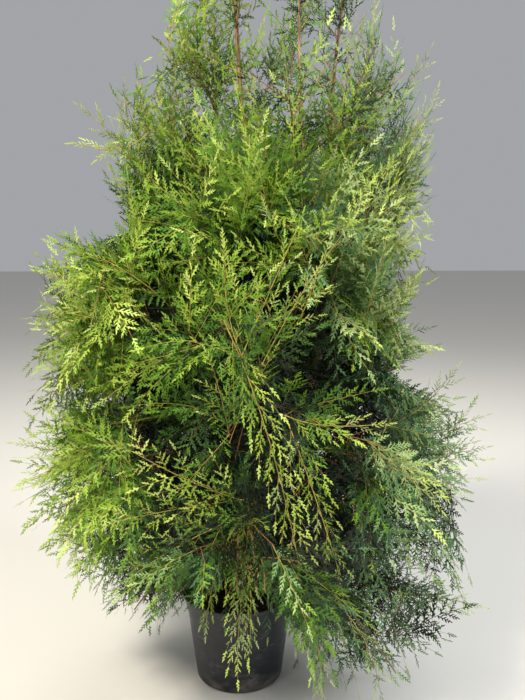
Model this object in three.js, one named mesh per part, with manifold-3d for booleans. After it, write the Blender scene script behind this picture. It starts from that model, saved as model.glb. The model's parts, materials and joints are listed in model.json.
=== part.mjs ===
// A bushy thuja in a 15 litre nursery container, about 2.05 m tall.
// Millimetres, +Z up. The origin is the centre of the container's flat underside, and the plant is
// seen from -Y, with +X to the right. Azimuths are degrees round +Z, from +X towards +Y.
import * as THREE from "three";
import { mergeVertices } from "three/addons/utils/BufferGeometryUtils.js";
import Module from "manifold-3d";

const wasm = await Module();
wasm.setup();

// Container and potting soil
const POT = {
  height: 250,
  baseRadius: 118,
  shoulderRadius: 141,
  shoulderHeight: 192,
  rimRadius: 158,
  lip: 4,
  lipHeight: 9,
  wall: 3,
  floor: 4,
  heel: 7,
  sides: 24,
};
const DRAIN = { count: 6, radius: 9, fromAxis: 84, sides: 6 };
const SOIL = { edgeHeight: 218, crownHeight: 227, crownRadius: 60 };
// Clear space between two solids that touch
const GAP = 0.3;

// Stems: the trunk and the three leaders that leave it, each to the tip of its wood
const FOOT = SOIL.crownHeight + GAP;
const TRUNK = {
  name: "trunk",
  tip: [-14, 4, 1930],
  startRise: 94,
  endRise: 86,
  rootRadius: 23,
  tipRadius: 2.2,
};
const ROOT_FLARE = { extra: 9, height: 45, sunk: 10 };
const LEADERS = [
  { name: "leader_right", fork: 440, tip: [290, 30, 1890], startRise: 52, endRise: 76, rootRadius: 15 },
  { name: "leader_front", fork: 780, tip: [150, -92, 1800], startRise: 50, endRise: 86, rootRadius: 9 },
  { name: "leader_back", fork: 560, tip: [-60, 190, 1740], startRise: 52, endRise: 84, rootRadius: 13 },
];
const LEADER_TIP_RADIUS = 2;
// How far a limb's curve holds its slope at either end, as a share of the limb's length
const HANDLE_SHARE = 0.38;

// Crown outline: its half-width and the middle of it, right and back of the origin, at heights
const CROWN = [
  { height: 60, radius: 310, middle: [160, -150] },
  { height: 150, radius: 410, middle: [130, -110] },
  { height: 300, radius: 560, middle: [90, -60] },
  { height: 640, radius: 635, middle: [50, -20] },
  { height: 820, radius: 560, middle: [25, 0] },
  { height: 1150, radius: 495, middle: [-10, 0] },
  { height: 1300, radius: 440, middle: [45, 0] },
  { height: 1560, radius: 410, middle: [85, 0] },
  { height: 1720, radius: 300, middle: [105, 10] },
  { height: 2060, radius: 170, middle: [115, 20] },
];

// Tiers of boughs. tipHeights are those of the ends of their wood, and the rises are the slopes at
// which they leave their stem and end, in degrees above level. lift turns sprays up or down.
const TIERS = [
  {
    name: "skirt",
    azimuth: -30,
    attach: 330,
    tipHeights: [150, 240, 310, 260, 480],
    startRise: 34,
    endRise: -50,
    lift: -0.7,
    hang: 120,
    dense: true,
  },
  {
    name: "low",
    azimuth: -18,
    attach: 470,
    tipHeights: [560, 560, 560, 560, 560],
    startRise: 32,
    endRise: -14,
    lift: -0.3,
    dense: true,
  },
  {
    name: "middle",
    azimuth: 5,
    attach: 690,
    tipHeights: [860, 860, 860, 860],
    startRise: 38,
    endRise: 14,
    lift: 0.1,
    dense: true,
  },
  {
    name: "upper",
    azimuth: 42,
    attach: 950,
    tipHeights: [1150, 1150, 1150, 1150],
    startRise: 42,
    endRise: 30,
    lift: 0.4,
    dense: true,
  },
  {
    name: "high",
    azimuth: -5,
    attach: 1180,
    tipHeights: [1400, 1400, 1420, 1330],
    startRise: 44,
    endRise: 42,
    lift: 0.6,
    dense: true,
  },
  {
    name: "crest",
    azimuth: -30,
    attach: 1400,
    tipHeights: [1640, 1640, 1640],
    startRise: 46,
    endRise: 52,
    lift: 0.8,
    dense: false,
  },
];
// reachShare is how much of the crown's half-width their wood reaches, stemShare the most of its
// stem's radius that a bough is thick at its root, and aboveFork keeps it off a leader's fork.
const BOUGH = {
  rootRadius: 8,
  stemShare: 0.8,
  endRadius: 1.6,
  aboveFork: 40,
  reachShare: 0.74,
  jitterAzimuth: 7,
  jitterReach: 0.05,
  jitterHeight: 22,
};

// Foliage masses: each bough past boughShare of its length, and each stem past leaderShare. Only
// the spray at a mass's end hangs lower than hang below the end of its wood.
const MASS = {
  boughShare: 0.24,
  leaderShare: 0.86,
  leaderLift: 0.8,
  hang: 300,
};
const TWIG = { count: 2, from: 0.2, length: 110, radius: 2.6, tipShare: 0.6, angle: 58, roll: 40 };
// The filling of a dense mass: rings round its stem between two shares of it, each reaching a share
// of the way to the edge of the mass's space
const CORE = { share: 0.66, most: 135, rings: 2, sides: 5, from: 0.03, to: 0.76, least: 12 };
// Fronds are the flat sprays. slimness is half a frond's width by its length, rib half its thickness
// along the middle, and each is the best of as many candidates.
const FROND = {
  denseCount: 8,
  openCount: 5,
  longest: 370,
  shortest: 130,
  slimness: 0.42,
  rib: 4.5,
  ribTaper: 0.2,
  stalk: 2.8,
  bend: 0.16,
  middle: 0.55,
  from: 0.06,
  to: 0.99,
  sunk: 0.03,
  candidates: 90,
};
// Lobes of a frond from its foot to its tip. end and tip are shares of its length, and the lobe's
// tip and the notch after it stand out by shares of its half-width.
const LOBES = [
  { end: 0.48, tip: 0.64, reach: 1, notch: 0.18 },
  { end: 0.78, tip: 0.93, reach: 0.78, notch: 0.15 },
];
// A frond leaves the foot of its stem or twig at the first angle and the tip at the second, give or
// take the third, and is rolled round its own length by up to roll. The one that carries a stem on
// bends from it by up to endGive, and liftShare is how much of a mass's lift turns its fronds.
const SPREAD = { atFoot: 95, atTip: 48, give: 15, roll: 14, endGive: 22, liftShare: 0.3 };
// What makes a place good: being apart from other fronds, far out and roomy
const WORTH = { apart: 400, out: 0.3, length: 0.6 };
const CLEAR = { ground: 18, neighbour: 3, limb: 1.2, pot: 8, step: 20 };
const SEED = 1207;

const FINISH = {
  pot: { color: 0x1d1e21, roughness: 0.55 },
  soil: { color: 0x2e241c, roughness: 0.95 },
  bark: { color: 0x7a4a2c, roughness: 0.85 },
  foliage: { color: 0x4f7a24, roughness: 0.7 },
};
const UP = new THREE.Vector3(0, 0, 1);

// Random numbers from 0 to 1 that are the same in every run.
function seededRandom(seed) {
  let state = seed >>> 0;
  return () => {
    state = (state + 0x6d2b79f5) >>> 0;
    let mixed = Math.imul(state ^ (state >>> 15), 1 | state);
    mixed = (mixed + Math.imul(mixed ^ (mixed >>> 7), 61 | mixed)) ^ mixed;
    return ((mixed ^ (mixed >>> 14)) >>> 0) / 4294967296;
  };
}

const radians = (degrees) => (degrees * Math.PI) / 180;
const spreadOf = (random, size) => (2 * random() - 1) * size;

function heading(azimuth, rise) {
  const level = Math.cos(radians(rise));
  return new THREE.Vector3(
    level * Math.cos(radians(azimuth)),
    level * Math.sin(radians(azimuth)),
    Math.sin(radians(rise)),
  );
}

// A three.js geometry as a solid, with its shared vertices merged.
function solidOf(geometry) {
  const bare = geometry.clone();
  bare.deleteAttribute("normal");
  bare.deleteAttribute("uv");
  const merged = mergeVertices(bare, 1e-4);
  return new wasm.Manifold(
    new wasm.Mesh({
      numProp: 3,
      vertProperties: new Float32Array(merged.attributes.position.array),
      triVerts: new Uint32Array(merged.index.array),
    }),
  );
}

function geometryOf(solid) {
  const mesh = solid.getMesh();
  const geometry = new THREE.BufferGeometry();
  geometry.setAttribute("position", new THREE.BufferAttribute(mesh.vertProperties, 3));
  geometry.setIndex(new THREE.BufferAttribute(mesh.triVerts, 1));
  geometry.computeVertexNormals();
  return geometry;
}

function closedGeometry(points, triangles) {
  const geometry = new THREE.BufferGeometry().setFromPoints(points);
  geometry.setIndex(triangles);
  return geometry;
}

const largest = (solid) => solid.decompose().sort((a, b) => b.volume() - a.volume())[0];
const unionOf = (solids) => solids.reduce((whole, piece) => whole.add(piece));
const overlaps = (a, b) => a.intersect(b).volume() > 0;

// A lathe turns its profile round Y, so it is stood up to turn round Z.
function lathed(profile, sides) {
  const outline = profile.map(([radius, height]) => new THREE.Vector2(radius, height));
  return solidOf(new THREE.LatheGeometry(outline, sides).rotateX(Math.PI / 2));
}

const cylinder = (radius, height) =>
  lathed([[0, 0], [radius, 0], [radius, height], [0, height]], POT.sides);

// One woody limb: a curve in an upright plane, round in section and tapering along it.
class Limb {
  constructor({ name, start, end, startRise, endRise, rootRadius, tipRadius, flare = null }) {
    const run = new THREE.Vector3().subVectors(end, start);
    const azimuth = THREE.MathUtils.radToDeg(Math.atan2(run.y, run.x));
    const handle = run.length() * HANDLE_SHARE;
    this.name = name;
    this.start = start;
    this.side = heading(azimuth + 90, 0);
    this.rootRadius = rootRadius;
    this.tipRadius = tipRadius;
    this.flare = flare;
    this.curve = new THREE.CubicBezierCurve3(
      start,
      start.clone().addScaledVector(heading(azimuth, startRise), handle),
      end.clone().addScaledVector(heading(azimuth, endRise), -handle),
      end,
    );
  }

  point(t) {
    return this.curve.getPoint(t);
  }

  tangent(t) {
    return this.curve.getTangent(t);
  }

  radius(t) {
    const flared = this.flare
      ? this.flare.extra * Math.exp(-(this.point(t).z - this.start.z) / this.flare.height)
      : 0;
    return THREE.MathUtils.lerp(this.rootRadius, this.tipRadius, t) + flared;
  }

  // The curve's parameter at which it passes a height, for a stem that only rises.
  atHeight(height) {
    let low = 0;
    let high = 1;
    for (let i = 0; i < 30; i++) {
      const middle = (low + high) / 2;
      if (this.point(middle).z < height) low = middle;
      else high = middle;
    }
    return low;
  }

  // The closed tube from t0 to t1, made thicker all round by extra.
  tube(t0, t1, sides, steps, extra = 0) {
    const points = [];
    const triangles = [];
    for (let i = 0; i <= steps; i++) {
      const t = THREE.MathUtils.lerp(t0, t1, i / steps);
      const centre = this.point(t);
      const normal = new THREE.Vector3().crossVectors(this.tangent(t), this.side);
      const radius = this.radius(t) + extra;
      for (let k = 0; k < sides; k++) {
        const angle = (2 * Math.PI * k) / sides;
        points.push(
          centre
            .clone()
            .addScaledVector(this.side, radius * Math.cos(angle))
            .addScaledVector(normal, radius * Math.sin(angle)),
        );
      }
    }
    for (let i = 0; i < steps; i++) {
      for (let k = 0; k < sides; k++) {
        const a = i * sides + k;
        const b = i * sides + ((k + 1) % sides);
        triangles.push(a, b, b + sides, a, b + sides, a + sides);
      }
    }
    const last = steps * sides;
    for (let k = 1; k < sides - 1; k++) {
      triangles.push(0, k + 1, k, last, last + k, last + k + 1);
    }
    return solidOf(closedGeometry(points, triangles));
  }
}

// Container: a thin tapered wall with a flared collar, a rolled lip and drain holes in its floor
function potSolid() {
  const { height, baseRadius, shoulderRadius, shoulderHeight, rimRadius, lip, lipHeight, wall } = POT;
  const shell = lathed(
    [
      [0, 0],
      [baseRadius - POT.heel, 0],
      [baseRadius, POT.heel],
      [shoulderRadius, shoulderHeight],
      [rimRadius - lip, height - lipHeight],
      [rimRadius, height - lipHeight],
      [rimRadius, height],
      [rimRadius - lip - wall, height],
      [shoulderRadius - wall, shoulderHeight],
      [baseRadius - wall, POT.floor + POT.heel],
      [baseRadius - wall - POT.heel, POT.floor],
      [0, POT.floor],
    ],
    POT.sides,
  );
  const holes = Array.from({ length: DRAIN.count }, (_, i) => {
    const centre = heading((360 * (i + 0.5)) / DRAIN.count, 0).multiplyScalar(DRAIN.fromAxis);
    const hole = new THREE.CylinderGeometry(DRAIN.radius, DRAIN.radius, 4 * POT.floor, DRAIN.sides);
    return solidOf(hole.rotateX(Math.PI / 2).translate(centre.x, centre.y, 0));
  });
  return shell.subtract(unionOf(holes));
}

// Inner radius of the container's wall at a height above the heel
function innerRadius(height) {
  const collar = height > POT.shoulderHeight;
  const from = collar
    ? [POT.shoulderHeight, POT.shoulderRadius]
    : [POT.heel + POT.floor, POT.baseRadius];
  const to = collar ? [POT.height, POT.rimRadius - POT.lip] : [POT.shoulderHeight, POT.shoulderRadius];
  return THREE.MathUtils.mapLinear(height, from[0], to[0], from[1], to[1]) - POT.wall;
}

function soilSolid() {
  const bottom = POT.floor + GAP;
  return lathed(
    [
      [0, bottom],
      [POT.baseRadius - POT.wall - POT.heel - 2 * GAP, bottom],
      [innerRadius(POT.shoulderHeight) - 2 * GAP, POT.shoulderHeight],
      [innerRadius(SOIL.edgeHeight) - 2 * GAP, SOIL.edgeHeight],
      [SOIL.crownRadius, SOIL.crownHeight],
      [0, SOIL.crownHeight],
    ],
    POT.sides,
  );
}

const vector = (list) => new THREE.Vector3(...list);

function makeTrunk() {
  return new Limb({
    ...TRUNK,
    start: new THREE.Vector3(0, 0, FOOT - ROOT_FLARE.sunk),
    end: vector(TRUNK.tip),
    flare: ROOT_FLARE,
  });
}

function makeLeader(spec, trunk) {
  return new Limb({
    ...spec,
    start: trunk.point(trunk.atHeight(spec.fork)),
    end: vector(spec.tip),
    tipRadius: LEADER_TIP_RADIUS,
  });
}

// Half-width of the crown and its middle at a height, between the rows of its outline
function crownAt(height) {
  const above = CROWN.findIndex((row) => row.height > height);
  const upper = CROWN[above < 0 ? CROWN.length - 1 : Math.max(1, above)];
  const lower = CROWN[CROWN.indexOf(upper) - 1];
  const share = THREE.MathUtils.clamp((height - lower.height) / (upper.height - lower.height), 0, 1);
  const between = (a, b) => THREE.MathUtils.lerp(a, b, share);
  return {
    radius: between(lower.radius, upper.radius),
    middle: new THREE.Vector3(
      between(lower.middle[0], upper.middle[0]),
      between(lower.middle[1], upper.middle[1]),
      height,
    ),
  };
}

function inCrown(point) {
  const { radius, middle } = crownAt(point.z);
  const top = CROWN[CROWN.length - 1].height;
  const byPot =
    point.z < POT.height + CLEAR.pot && Math.hypot(point.x, point.y) < POT.rimRadius + CLEAR.pot;
  return !byPot && point.z > CLEAR.ground && point.z < top && point.distanceTo(middle) < radius;
}

// The stem that stands furthest out towards an azimuth at a height carries the bough there.
function carrierOf(stems, azimuth, height) {
  const outward = heading(azimuth, 0);
  let best = null;
  for (const stem of stems) {
    if (stem.start.z + BOUGH.aboveFork > height) continue;
    const point = stem.point(stem.atHeight(height));
    const out = point.dot(outward);
    if (!best || out > best.out) best = { stem, point, out };
  }
  return best;
}

function makeBough(tier, index, stems, random) {
  const count = tier.tipHeights.length;
  const azimuth = tier.azimuth + (360 * index) / count + spreadOf(random, BOUGH.jitterAzimuth);
  const attach = tier.attach + spreadOf(random, BOUGH.jitterHeight);
  const { radius, middle } = crownAt(tier.tipHeights[index] + spreadOf(random, BOUGH.jitterHeight));
  const reach = radius * BOUGH.reachShare * (1 + spreadOf(random, BOUGH.jitterReach));
  const carrier = carrierOf(stems, azimuth, attach);
  const stemRadius = carrier.stem.radius(carrier.stem.atHeight(attach));
  return new Limb({
    name: `${tier.name}_${index + 1}`,
    start: carrier.point,
    end: middle.addScaledVector(heading(azimuth, 0), reach),
    startRise: tier.startRise,
    endRise: tier.endRise,
    rootRadius: Math.min(BOUGH.rootRadius, BOUGH.stemShare * stemRadius),
    tipRadius: BOUGH.endRadius,
  });
}

// A frond: a thin blade with a raised rib, cut nearly to the rib between its lobes. It lies from
// root along a direction with its face turned to facing, and lift bends it up or down.
function frondOf(root, along, facing, length, lift) {
  const width = length * FROND.slimness;
  const across = new THREE.Vector3().crossVectors(along, facing).normalize();
  const face = new THREE.Vector3().crossVectors(across, along).normalize();
  const points = [];
  const triangles = [];
  const add = (x, y, z) => {
    const bent = FROND.bend * lift * length * y * y;
    const point = root.clone().addScaledVector(across, x).addScaledVector(along, y * length);
    return points.push(point.addScaledVector(face, z).addScaledVector(UP, bent)) - 1;
  };
  const station = (y, out, rib) => ({
    ribs: [add(0, y, rib), add(0, y, -rib)],
    edges: [add(out, y, 0), add(-out, y, 0)],
  });
  // Each face lies on the right half of the top, and is turned round where it is mirrored.
  const addFaces = (half, side, fan) => {
    for (const [a, b, c] of fan) triangles.push(...(half === side ? [a, b, c] : [a, c, b]));
  };
  const foot = station(0, FROND.stalk, FROND.stalk);
  triangles.push(foot.ribs[0], foot.edges[1], foot.edges[0], foot.ribs[1], foot.edges[0], foot.edges[1]);
  const tip = add(0, 1, 0);
  let last = foot;
  for (const [i, lobe] of LOBES.entries()) {
    const rib = FROND.rib * (1 - FROND.ribTaper * i);
    const next = station(lobe.end, lobe.notch * width, rib);
    const lobeTips = [add(lobe.reach * width, lobe.tip, 0), add(-lobe.reach * width, lobe.tip, 0)];
    for (const half of [0, 1]) {
      for (const side of [0, 1]) {
        addFaces(half, side, [
          [last.ribs[side], last.edges[half], lobeTips[half]],
          [last.ribs[side], lobeTips[half], next.edges[half]],
          [last.ribs[side], next.edges[half], next.ribs[side]],
        ]);
        if (i === LOBES.length - 1) addFaces(half, side, [[next.ribs[side], next.edges[half], tip]]);
      }
    }
    last = next;
  }
  const centre = root.clone().addScaledVector(along, FROND.middle * length);
  return { points, triangles, length, centre };
}

// A three-sided twig from one point to another
function twigSolid(from, to, radius) {
  const along = new THREE.Vector3().subVectors(to, from).normalize();
  const side = new THREE.Vector3().crossVectors(along, UP).normalize();
  const normal = new THREE.Vector3().crossVectors(side, along);
  const ring = (centre, size) =>
    [90, 210, 330].map((angle) =>
      centre
        .clone()
        .addScaledVector(side, size * Math.cos(radians(angle)))
        .addScaledVector(normal, size * Math.sin(radians(angle))),
    );
  const points = [...ring(from, radius), ...ring(to, radius * TWIG.tipShare)];
  const triangles = [0, 1, 2, 3, 5, 4];
  for (let k = 0; k < 3; k++) {
    const next = (k + 1) % 3;
    triangles.push(k, next + 3, next, k, k + 3, next + 3);
  }
  return solidOf(closedGeometry(points, triangles));
}

// The direction at an angle from an axis, rolled round it from its side
function leaning(axis, side, angle, roll) {
  const normal = new THREE.Vector3().crossVectors(axis, side);
  return axis
    .clone()
    .multiplyScalar(Math.cos(angle))
    .addScaledVector(side, Math.sin(angle) * Math.cos(roll))
    .addScaledVector(normal, Math.sin(angle) * Math.sin(roll));
}

// One mass of foliage: the leafy end of a limb, from share along it to its tip
class Mass {
  constructor(limb, share, { lift, dense, hang = MASS.hang }) {
    this.name = `foliage_${limb.name}`;
    this.limb = limb;
    this.share = share;
    this.lift = lift;
    this.dense = dense;
    this.lowest = limb.point(1).z - hang;
    this.spine = Array.from({ length: 7 }, (_, i) => this.point(i / 6));
  }

  parameter(u) {
    return THREE.MathUtils.lerp(this.share, 1, u);
  }

  point(u) {
    return this.limb.point(this.parameter(u));
  }

  tangent(u) {
    return this.limb.tangent(this.parameter(u));
  }

  distance(point) {
    const line = new THREE.Line3();
    const nearest = new THREE.Vector3();
    let best = Infinity;
    for (let i = 1; i < this.spine.length; i++) {
      line.set(this.spine[i - 1], this.spine[i]);
      line.closestPointToPoint(point, true, nearest);
      best = Math.min(best, nearest.distanceTo(point));
    }
    return best;
  }

  // Its own space is what lies in the crown and nearer to its spine than to any other mass's.
  owns(point, masses) {
    if (!inCrown(point)) return false;
    const own = this.distance(point) + CLEAR.neighbour;
    return masses.every((other) => other === this || other.distance(point) > own);
  }

  // How far its own space goes from a point in a direction, up to a longest length
  room(point, direction, longest, masses) {
    let length = 0;
    while (length < longest) {
      const next = point.clone().addScaledVector(direction, length + CLEAR.step);
      if (!this.owns(next, masses)) break;
      length += CLEAR.step;
    }
    return Math.min(length, longest);
  }

  // One ring of the core: points round the stem, each part of the way to the edge of the space
  coreRing(u, masses) {
    const centre = this.point(u);
    return Array.from({ length: CORE.sides }, (_, k) => {
      const roll = (2 * Math.PI * k) / CORE.sides;
      const out = leaning(this.tangent(u), this.limb.side, Math.PI / 2, roll);
      const size = CORE.share * this.room(centre, out, CORE.most / CORE.share, masses);
      return centre.clone().addScaledVector(out, Math.max(size, CORE.least));
    });
  }

  // The filling inside a dense mass, cut clear of the limbs
  makeCore(masses, limbs) {
    const rings = Array.from({ length: CORE.rings }, (_, i) =>
      this.coreRing(THREE.MathUtils.lerp(CORE.from, CORE.to, (i + 0.5) / CORE.rings), masses),
    );
    const points = [this.point(CORE.from), ...rings.flat(), this.point(CORE.to)];
    const end = points.length - 1;
    const triangles = [];
    for (let k = 0; k < CORE.sides; k++) {
      const next = (k + 1) % CORE.sides;
      const lastRing = end - CORE.sides;
      triangles.push(0, 1 + next, 1 + k, end, lastRing + k, lastRing + next);
      for (let first = 1; first < lastRing; first += CORE.sides) {
        const above = first + CORE.sides;
        triangles.push(first + k, first + next, above + next, first + k, above + next, above + k);
      }
    }
    const core = solidOf(closedGeometry(points, triangles));
    return limbs.reduce((whole, limb) => whole.subtract(limb), core);
  }

  // The frond that carries the stem on from its tip
  endPlace(random) {
    const end = this.tangent(1);
    const along = leaning(end, this.limb.side, radians(SPREAD.endGive) * random(), 2 * Math.PI * random());
    const facing = leaning(end, this.limb.side, Math.PI / 2, Math.PI * random());
    return { root: this.point(1 - FROND.sunk), along, facing };
  }

  // A seeded place for a frond: somewhere on the stem or a twig, at an angle to it, facing out
  sidePlace(axes, random) {
    const axis = axes[Math.floor(random() * axes.length)];
    const share = random();
    const root = axis.at(share);
    const angle = THREE.MathUtils.lerp(SPREAD.atFoot, SPREAD.atTip, share) + spreadOf(random, SPREAD.give);
    const along = leaning(axis.direction(share), this.limb.side, radians(angle), 2 * Math.PI * random())
      .addScaledVector(UP, this.lift * SPREAD.liftShare)
      .normalize();
    const outward = new THREE.Vector3(root.x, root.y, 0).normalize();
    return { root, along, facing: outward.applyAxisAngle(along, spreadOf(random, radians(SPREAD.roll))) };
  }

  // A frond as long as its place has room for, or null where it would leave the mass's space
  frondAt({ root, along, facing }, lowest, masses) {
    const length = this.room(root, along, FROND.longest, masses);
    if (length < FROND.shortest) return null;
    const frond = frondOf(root, along, facing, length, this.lift);
    const outline = frond.points.slice(4);
    const inside = outline.every((point) => point.z > lowest && this.owns(point, masses));
    return inside ? frond : null;
  }

  // How good a frond's place is
  worth(frond, blades) {
    const apart = Math.min(WORTH.apart, ...blades.map((blade) => blade.distanceTo(frond.centre)));
    const out = Math.hypot(frond.centre.x, frond.centre.y);
    return apart + WORTH.out * out + WORTH.length * frond.length;
  }

  // The best of the fronds that fit and touch nothing, or null
  bestFrond(places, lowest, masses, blades, obstacles) {
    const found = places.map((place) => this.frondAt(place, lowest, masses)).filter(Boolean);
    for (const frond of found) frond.worth = this.worth(frond, blades);
    found.sort((a, b) => b.worth - a.worth);
    for (const frond of found) {
      frond.solid = solidOf(closedGeometry(frond.points, frond.triangles));
      if (!obstacles.some((obstacle) => overlaps(frond.solid, obstacle))) return frond;
    }
    return null;
  }

  // Twigs that leave the stem to its two sides in turn
  makeTwigs(masses, obstacles, random) {
    const twigs = [];
    for (let i = 0; i < TWIG.count; i++) {
      const u = TWIG.from + i / TWIG.count;
      const root = this.point(u);
      const roll = radians((i % 2 ? 180 : 0) + spreadOf(random, TWIG.roll));
      const along = leaning(this.tangent(u), this.limb.side, radians(TWIG.angle), roll)
        .addScaledVector(UP, this.lift * SPREAD.liftShare)
        .normalize();
      const length = this.room(root, along, TWIG.length, masses);
      const tip = root.clone().addScaledVector(along, length);
      const solid = length > TWIG.length / 2 ? twigSolid(root, tip, TWIG.radius) : null;
      if (!solid || obstacles.some((obstacle) => overlaps(solid, obstacle))) continue;
      twigs.push({
        solid,
        at: (share) => root.clone().lerp(tip, (1 - FROND.sunk) * share),
        direction: () => along.clone(),
      });
    }
    return twigs;
  }

  // The stem, its twigs, their fronds and any core, fused in one solid
  build(masses, obstacles, blades, random) {
    const twigs = this.makeTwigs(masses, obstacles, random);
    const start = this.share + GAP / this.limb.curve.getLength();
    const stem = {
      solid: this.limb.tube(start, 1, 3, 3),
      at: (share) => this.point(THREE.MathUtils.lerp(FROND.from, FROND.to, share)),
      direction: (share) => this.tangent(share),
    };
    const axes = [stem, stem, ...twigs];
    const pieces = [stem.solid, ...twigs.map((twig) => twig.solid)];
    if (this.core) pieces.push(this.core);
    const count = this.dense ? FROND.denseCount : FROND.openCount;
    for (let i = 0; i < count; i++) {
      const atEnd = i === 0;
      const places = Array.from({ length: FROND.candidates }, () =>
        atEnd ? this.endPlace(random) : this.sidePlace(axes, random),
      );
      const lowest = atEnd ? CLEAR.ground : this.lowest;
      const frond = this.bestFrond(places, lowest, masses, blades, obstacles);
      if (!frond) continue;
      pieces.push(frond.solid);
      obstacles.push(frond.solid);
      blades.push(frond.centre);
    }
    return largest(unionOf(pieces));
  }
}

function meshOf(name, solid, { color, roughness }) {
  const material = new THREE.MeshStandardMaterial({ color, roughness, metalness: 0 });
  const mesh = new THREE.Mesh(geometryOf(solid), material);
  mesh.name = name;
  return mesh;
}

function buildPlant() {
  const random = seededRandom(SEED);
  const plant = new THREE.Group();
  const pot = potSolid();
  const soil = soilSolid();
  plant.add(meshOf("pot", pot, FINISH.pot), meshOf("soil", soil, FINISH.soil));

  const trunk = makeTrunk();
  const stems = [trunk, ...LEADERS.map((spec) => makeLeader(spec, trunk))];
  const boughs = TIERS.flatMap((tier) =>
    tier.tipHeights.map((_, i) => ({ tier, limb: makeBough(tier, i, stems, random) })),
  );
  const masses = [
    ...boughs.map(({ tier, limb }) => new Mass(limb, MASS.boughShare, tier)),
    ...stems.map((stem) => new Mass(stem, MASS.leaderShare, { lift: MASS.leaderLift, dense: false })),
  ];

  // The trunk is cut flat at the soil, and each limb clear of those made before it.
  const cutters = [cylinder(SOIL.crownRadius + CLEAR.pot, FOOT)];
  const grown = [];
  const addLimb = (limb, share, sides, steps) => {
    const tube = limb.tube(0, share, sides, steps);
    const solid = cutters.reduce((whole, cutter) => whole.subtract(cutter), tube);
    cutters.push(limb.tube(0, share, sides, steps, GAP));
    grown.push(limb.tube(0, share, sides, steps, CLEAR.limb));
    plant.add(meshOf(limb.name, largest(solid), FINISH.bark));
  };
  addLimb(trunk, MASS.leaderShare, 8, 12);
  for (const leader of stems.slice(1)) addLimb(leader, MASS.leaderShare, 6, 8);
  for (const { limb } of boughs) addLimb(limb, MASS.boughShare, 5, 2);

  const potSpace = cylinder(POT.rimRadius + CLEAR.pot / 2, POT.height + CLEAR.pot / 2);
  for (const mass of masses) {
    if (mass.dense) mass.core = mass.makeCore(masses, [...grown, potSpace]);
  }
  const blades = [];
  const done = [];
  for (const mass of masses) {
    const cores = masses.filter((other) => other !== mass && other.core).map((other) => other.core);
    const solid = mass.build(masses, [pot, soil, ...grown, ...cores, ...done], blades, random);
    done.push(solid);
    plant.add(meshOf(mass.name, solid, FINISH.foliage));
  }
  return plant;
}

export default buildPlant();
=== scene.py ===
"""A bushy thuja in a 15 litre nursery container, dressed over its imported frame.

Sizes that repeat those of the solids are in millimetres, and every mesh is made in metres. The
plant stands on the origin with +Z up, it is seen from -Y, and +X is to the right. Azimuths are
degrees round +Z, from +X towards +Y, and rises are degrees above level.
"""

from __future__ import annotations

import json
import logging
import math
from collections.abc import Sequence
from dataclasses import dataclass, field
from enum import Enum

import bpy
import numpy as np
from bpy.types import Collection, ColorRamp, Material, Node, NodeSocket, NodeTree, Object
from mathutils import Matrix, Vector, noise

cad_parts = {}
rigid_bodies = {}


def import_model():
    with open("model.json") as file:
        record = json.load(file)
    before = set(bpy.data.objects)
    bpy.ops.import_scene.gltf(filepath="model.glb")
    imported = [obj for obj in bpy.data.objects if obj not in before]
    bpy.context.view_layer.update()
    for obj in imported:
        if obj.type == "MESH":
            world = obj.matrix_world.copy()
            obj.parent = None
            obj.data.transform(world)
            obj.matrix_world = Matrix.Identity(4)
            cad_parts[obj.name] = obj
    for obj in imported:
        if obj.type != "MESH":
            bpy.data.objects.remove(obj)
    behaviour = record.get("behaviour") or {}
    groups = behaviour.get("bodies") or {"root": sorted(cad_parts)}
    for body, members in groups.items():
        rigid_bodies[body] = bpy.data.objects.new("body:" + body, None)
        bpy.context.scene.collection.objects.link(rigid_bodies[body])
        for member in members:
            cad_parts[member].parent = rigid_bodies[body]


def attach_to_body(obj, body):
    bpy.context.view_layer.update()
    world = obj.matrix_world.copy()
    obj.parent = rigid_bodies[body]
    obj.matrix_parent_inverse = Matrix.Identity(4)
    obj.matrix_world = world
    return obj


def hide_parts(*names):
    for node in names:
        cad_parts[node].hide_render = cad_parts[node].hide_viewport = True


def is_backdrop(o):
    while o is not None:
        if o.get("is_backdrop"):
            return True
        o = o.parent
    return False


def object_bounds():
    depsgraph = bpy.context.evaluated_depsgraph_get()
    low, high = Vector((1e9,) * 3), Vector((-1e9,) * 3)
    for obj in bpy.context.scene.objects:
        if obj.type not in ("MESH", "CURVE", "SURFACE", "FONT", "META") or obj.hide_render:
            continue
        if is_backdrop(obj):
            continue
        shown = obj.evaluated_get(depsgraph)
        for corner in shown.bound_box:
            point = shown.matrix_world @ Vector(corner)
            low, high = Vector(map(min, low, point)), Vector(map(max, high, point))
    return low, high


LOG = logging.getLogger("potted_thuja")
MM = 0.001
UP = np.array((0.0, 0.0, 1.0))
WORD = 0xFFFFFFFF
BODY = "root"
RIB_ORDER = 3
Pair = tuple[float, float]
Point = tuple[float, float, float]
Colour = tuple[float, float, float, float]
Table = tuple[Pair, ...]
Faces = list[tuple[int, ...]]
HOST_ATTRIBUTES = ("turn", "size", "form", "thickness")


# Sizes of the solids, in millimetres


@dataclass(frozen=True)
class PotSizes:
    """The container: a thin tapered wall with a flared collar and a rolled lip."""

    height: float = 250.0
    base_radius: float = 118.0
    shoulder_radius: float = 141.0
    shoulder_height: float = 192.0
    rim_radius: float = 158.0
    lip: float = 4.0
    lip_height: float = 9.0
    wall: float = 3.0
    floor: float = 4.0
    heel: float = 7.0
    drain_count: int = 6
    drain_radius: float = 9.0
    drain_from_axis: float = 84.0


@dataclass(frozen=True)
class SoilSizes:
    """The potting soil: heights of its edge and crown, and the radius of the crown."""

    edge_height: float = 218.0
    crown_height: float = 227.0
    crown_radius: float = 60.0
    gap: float = 0.3


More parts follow.
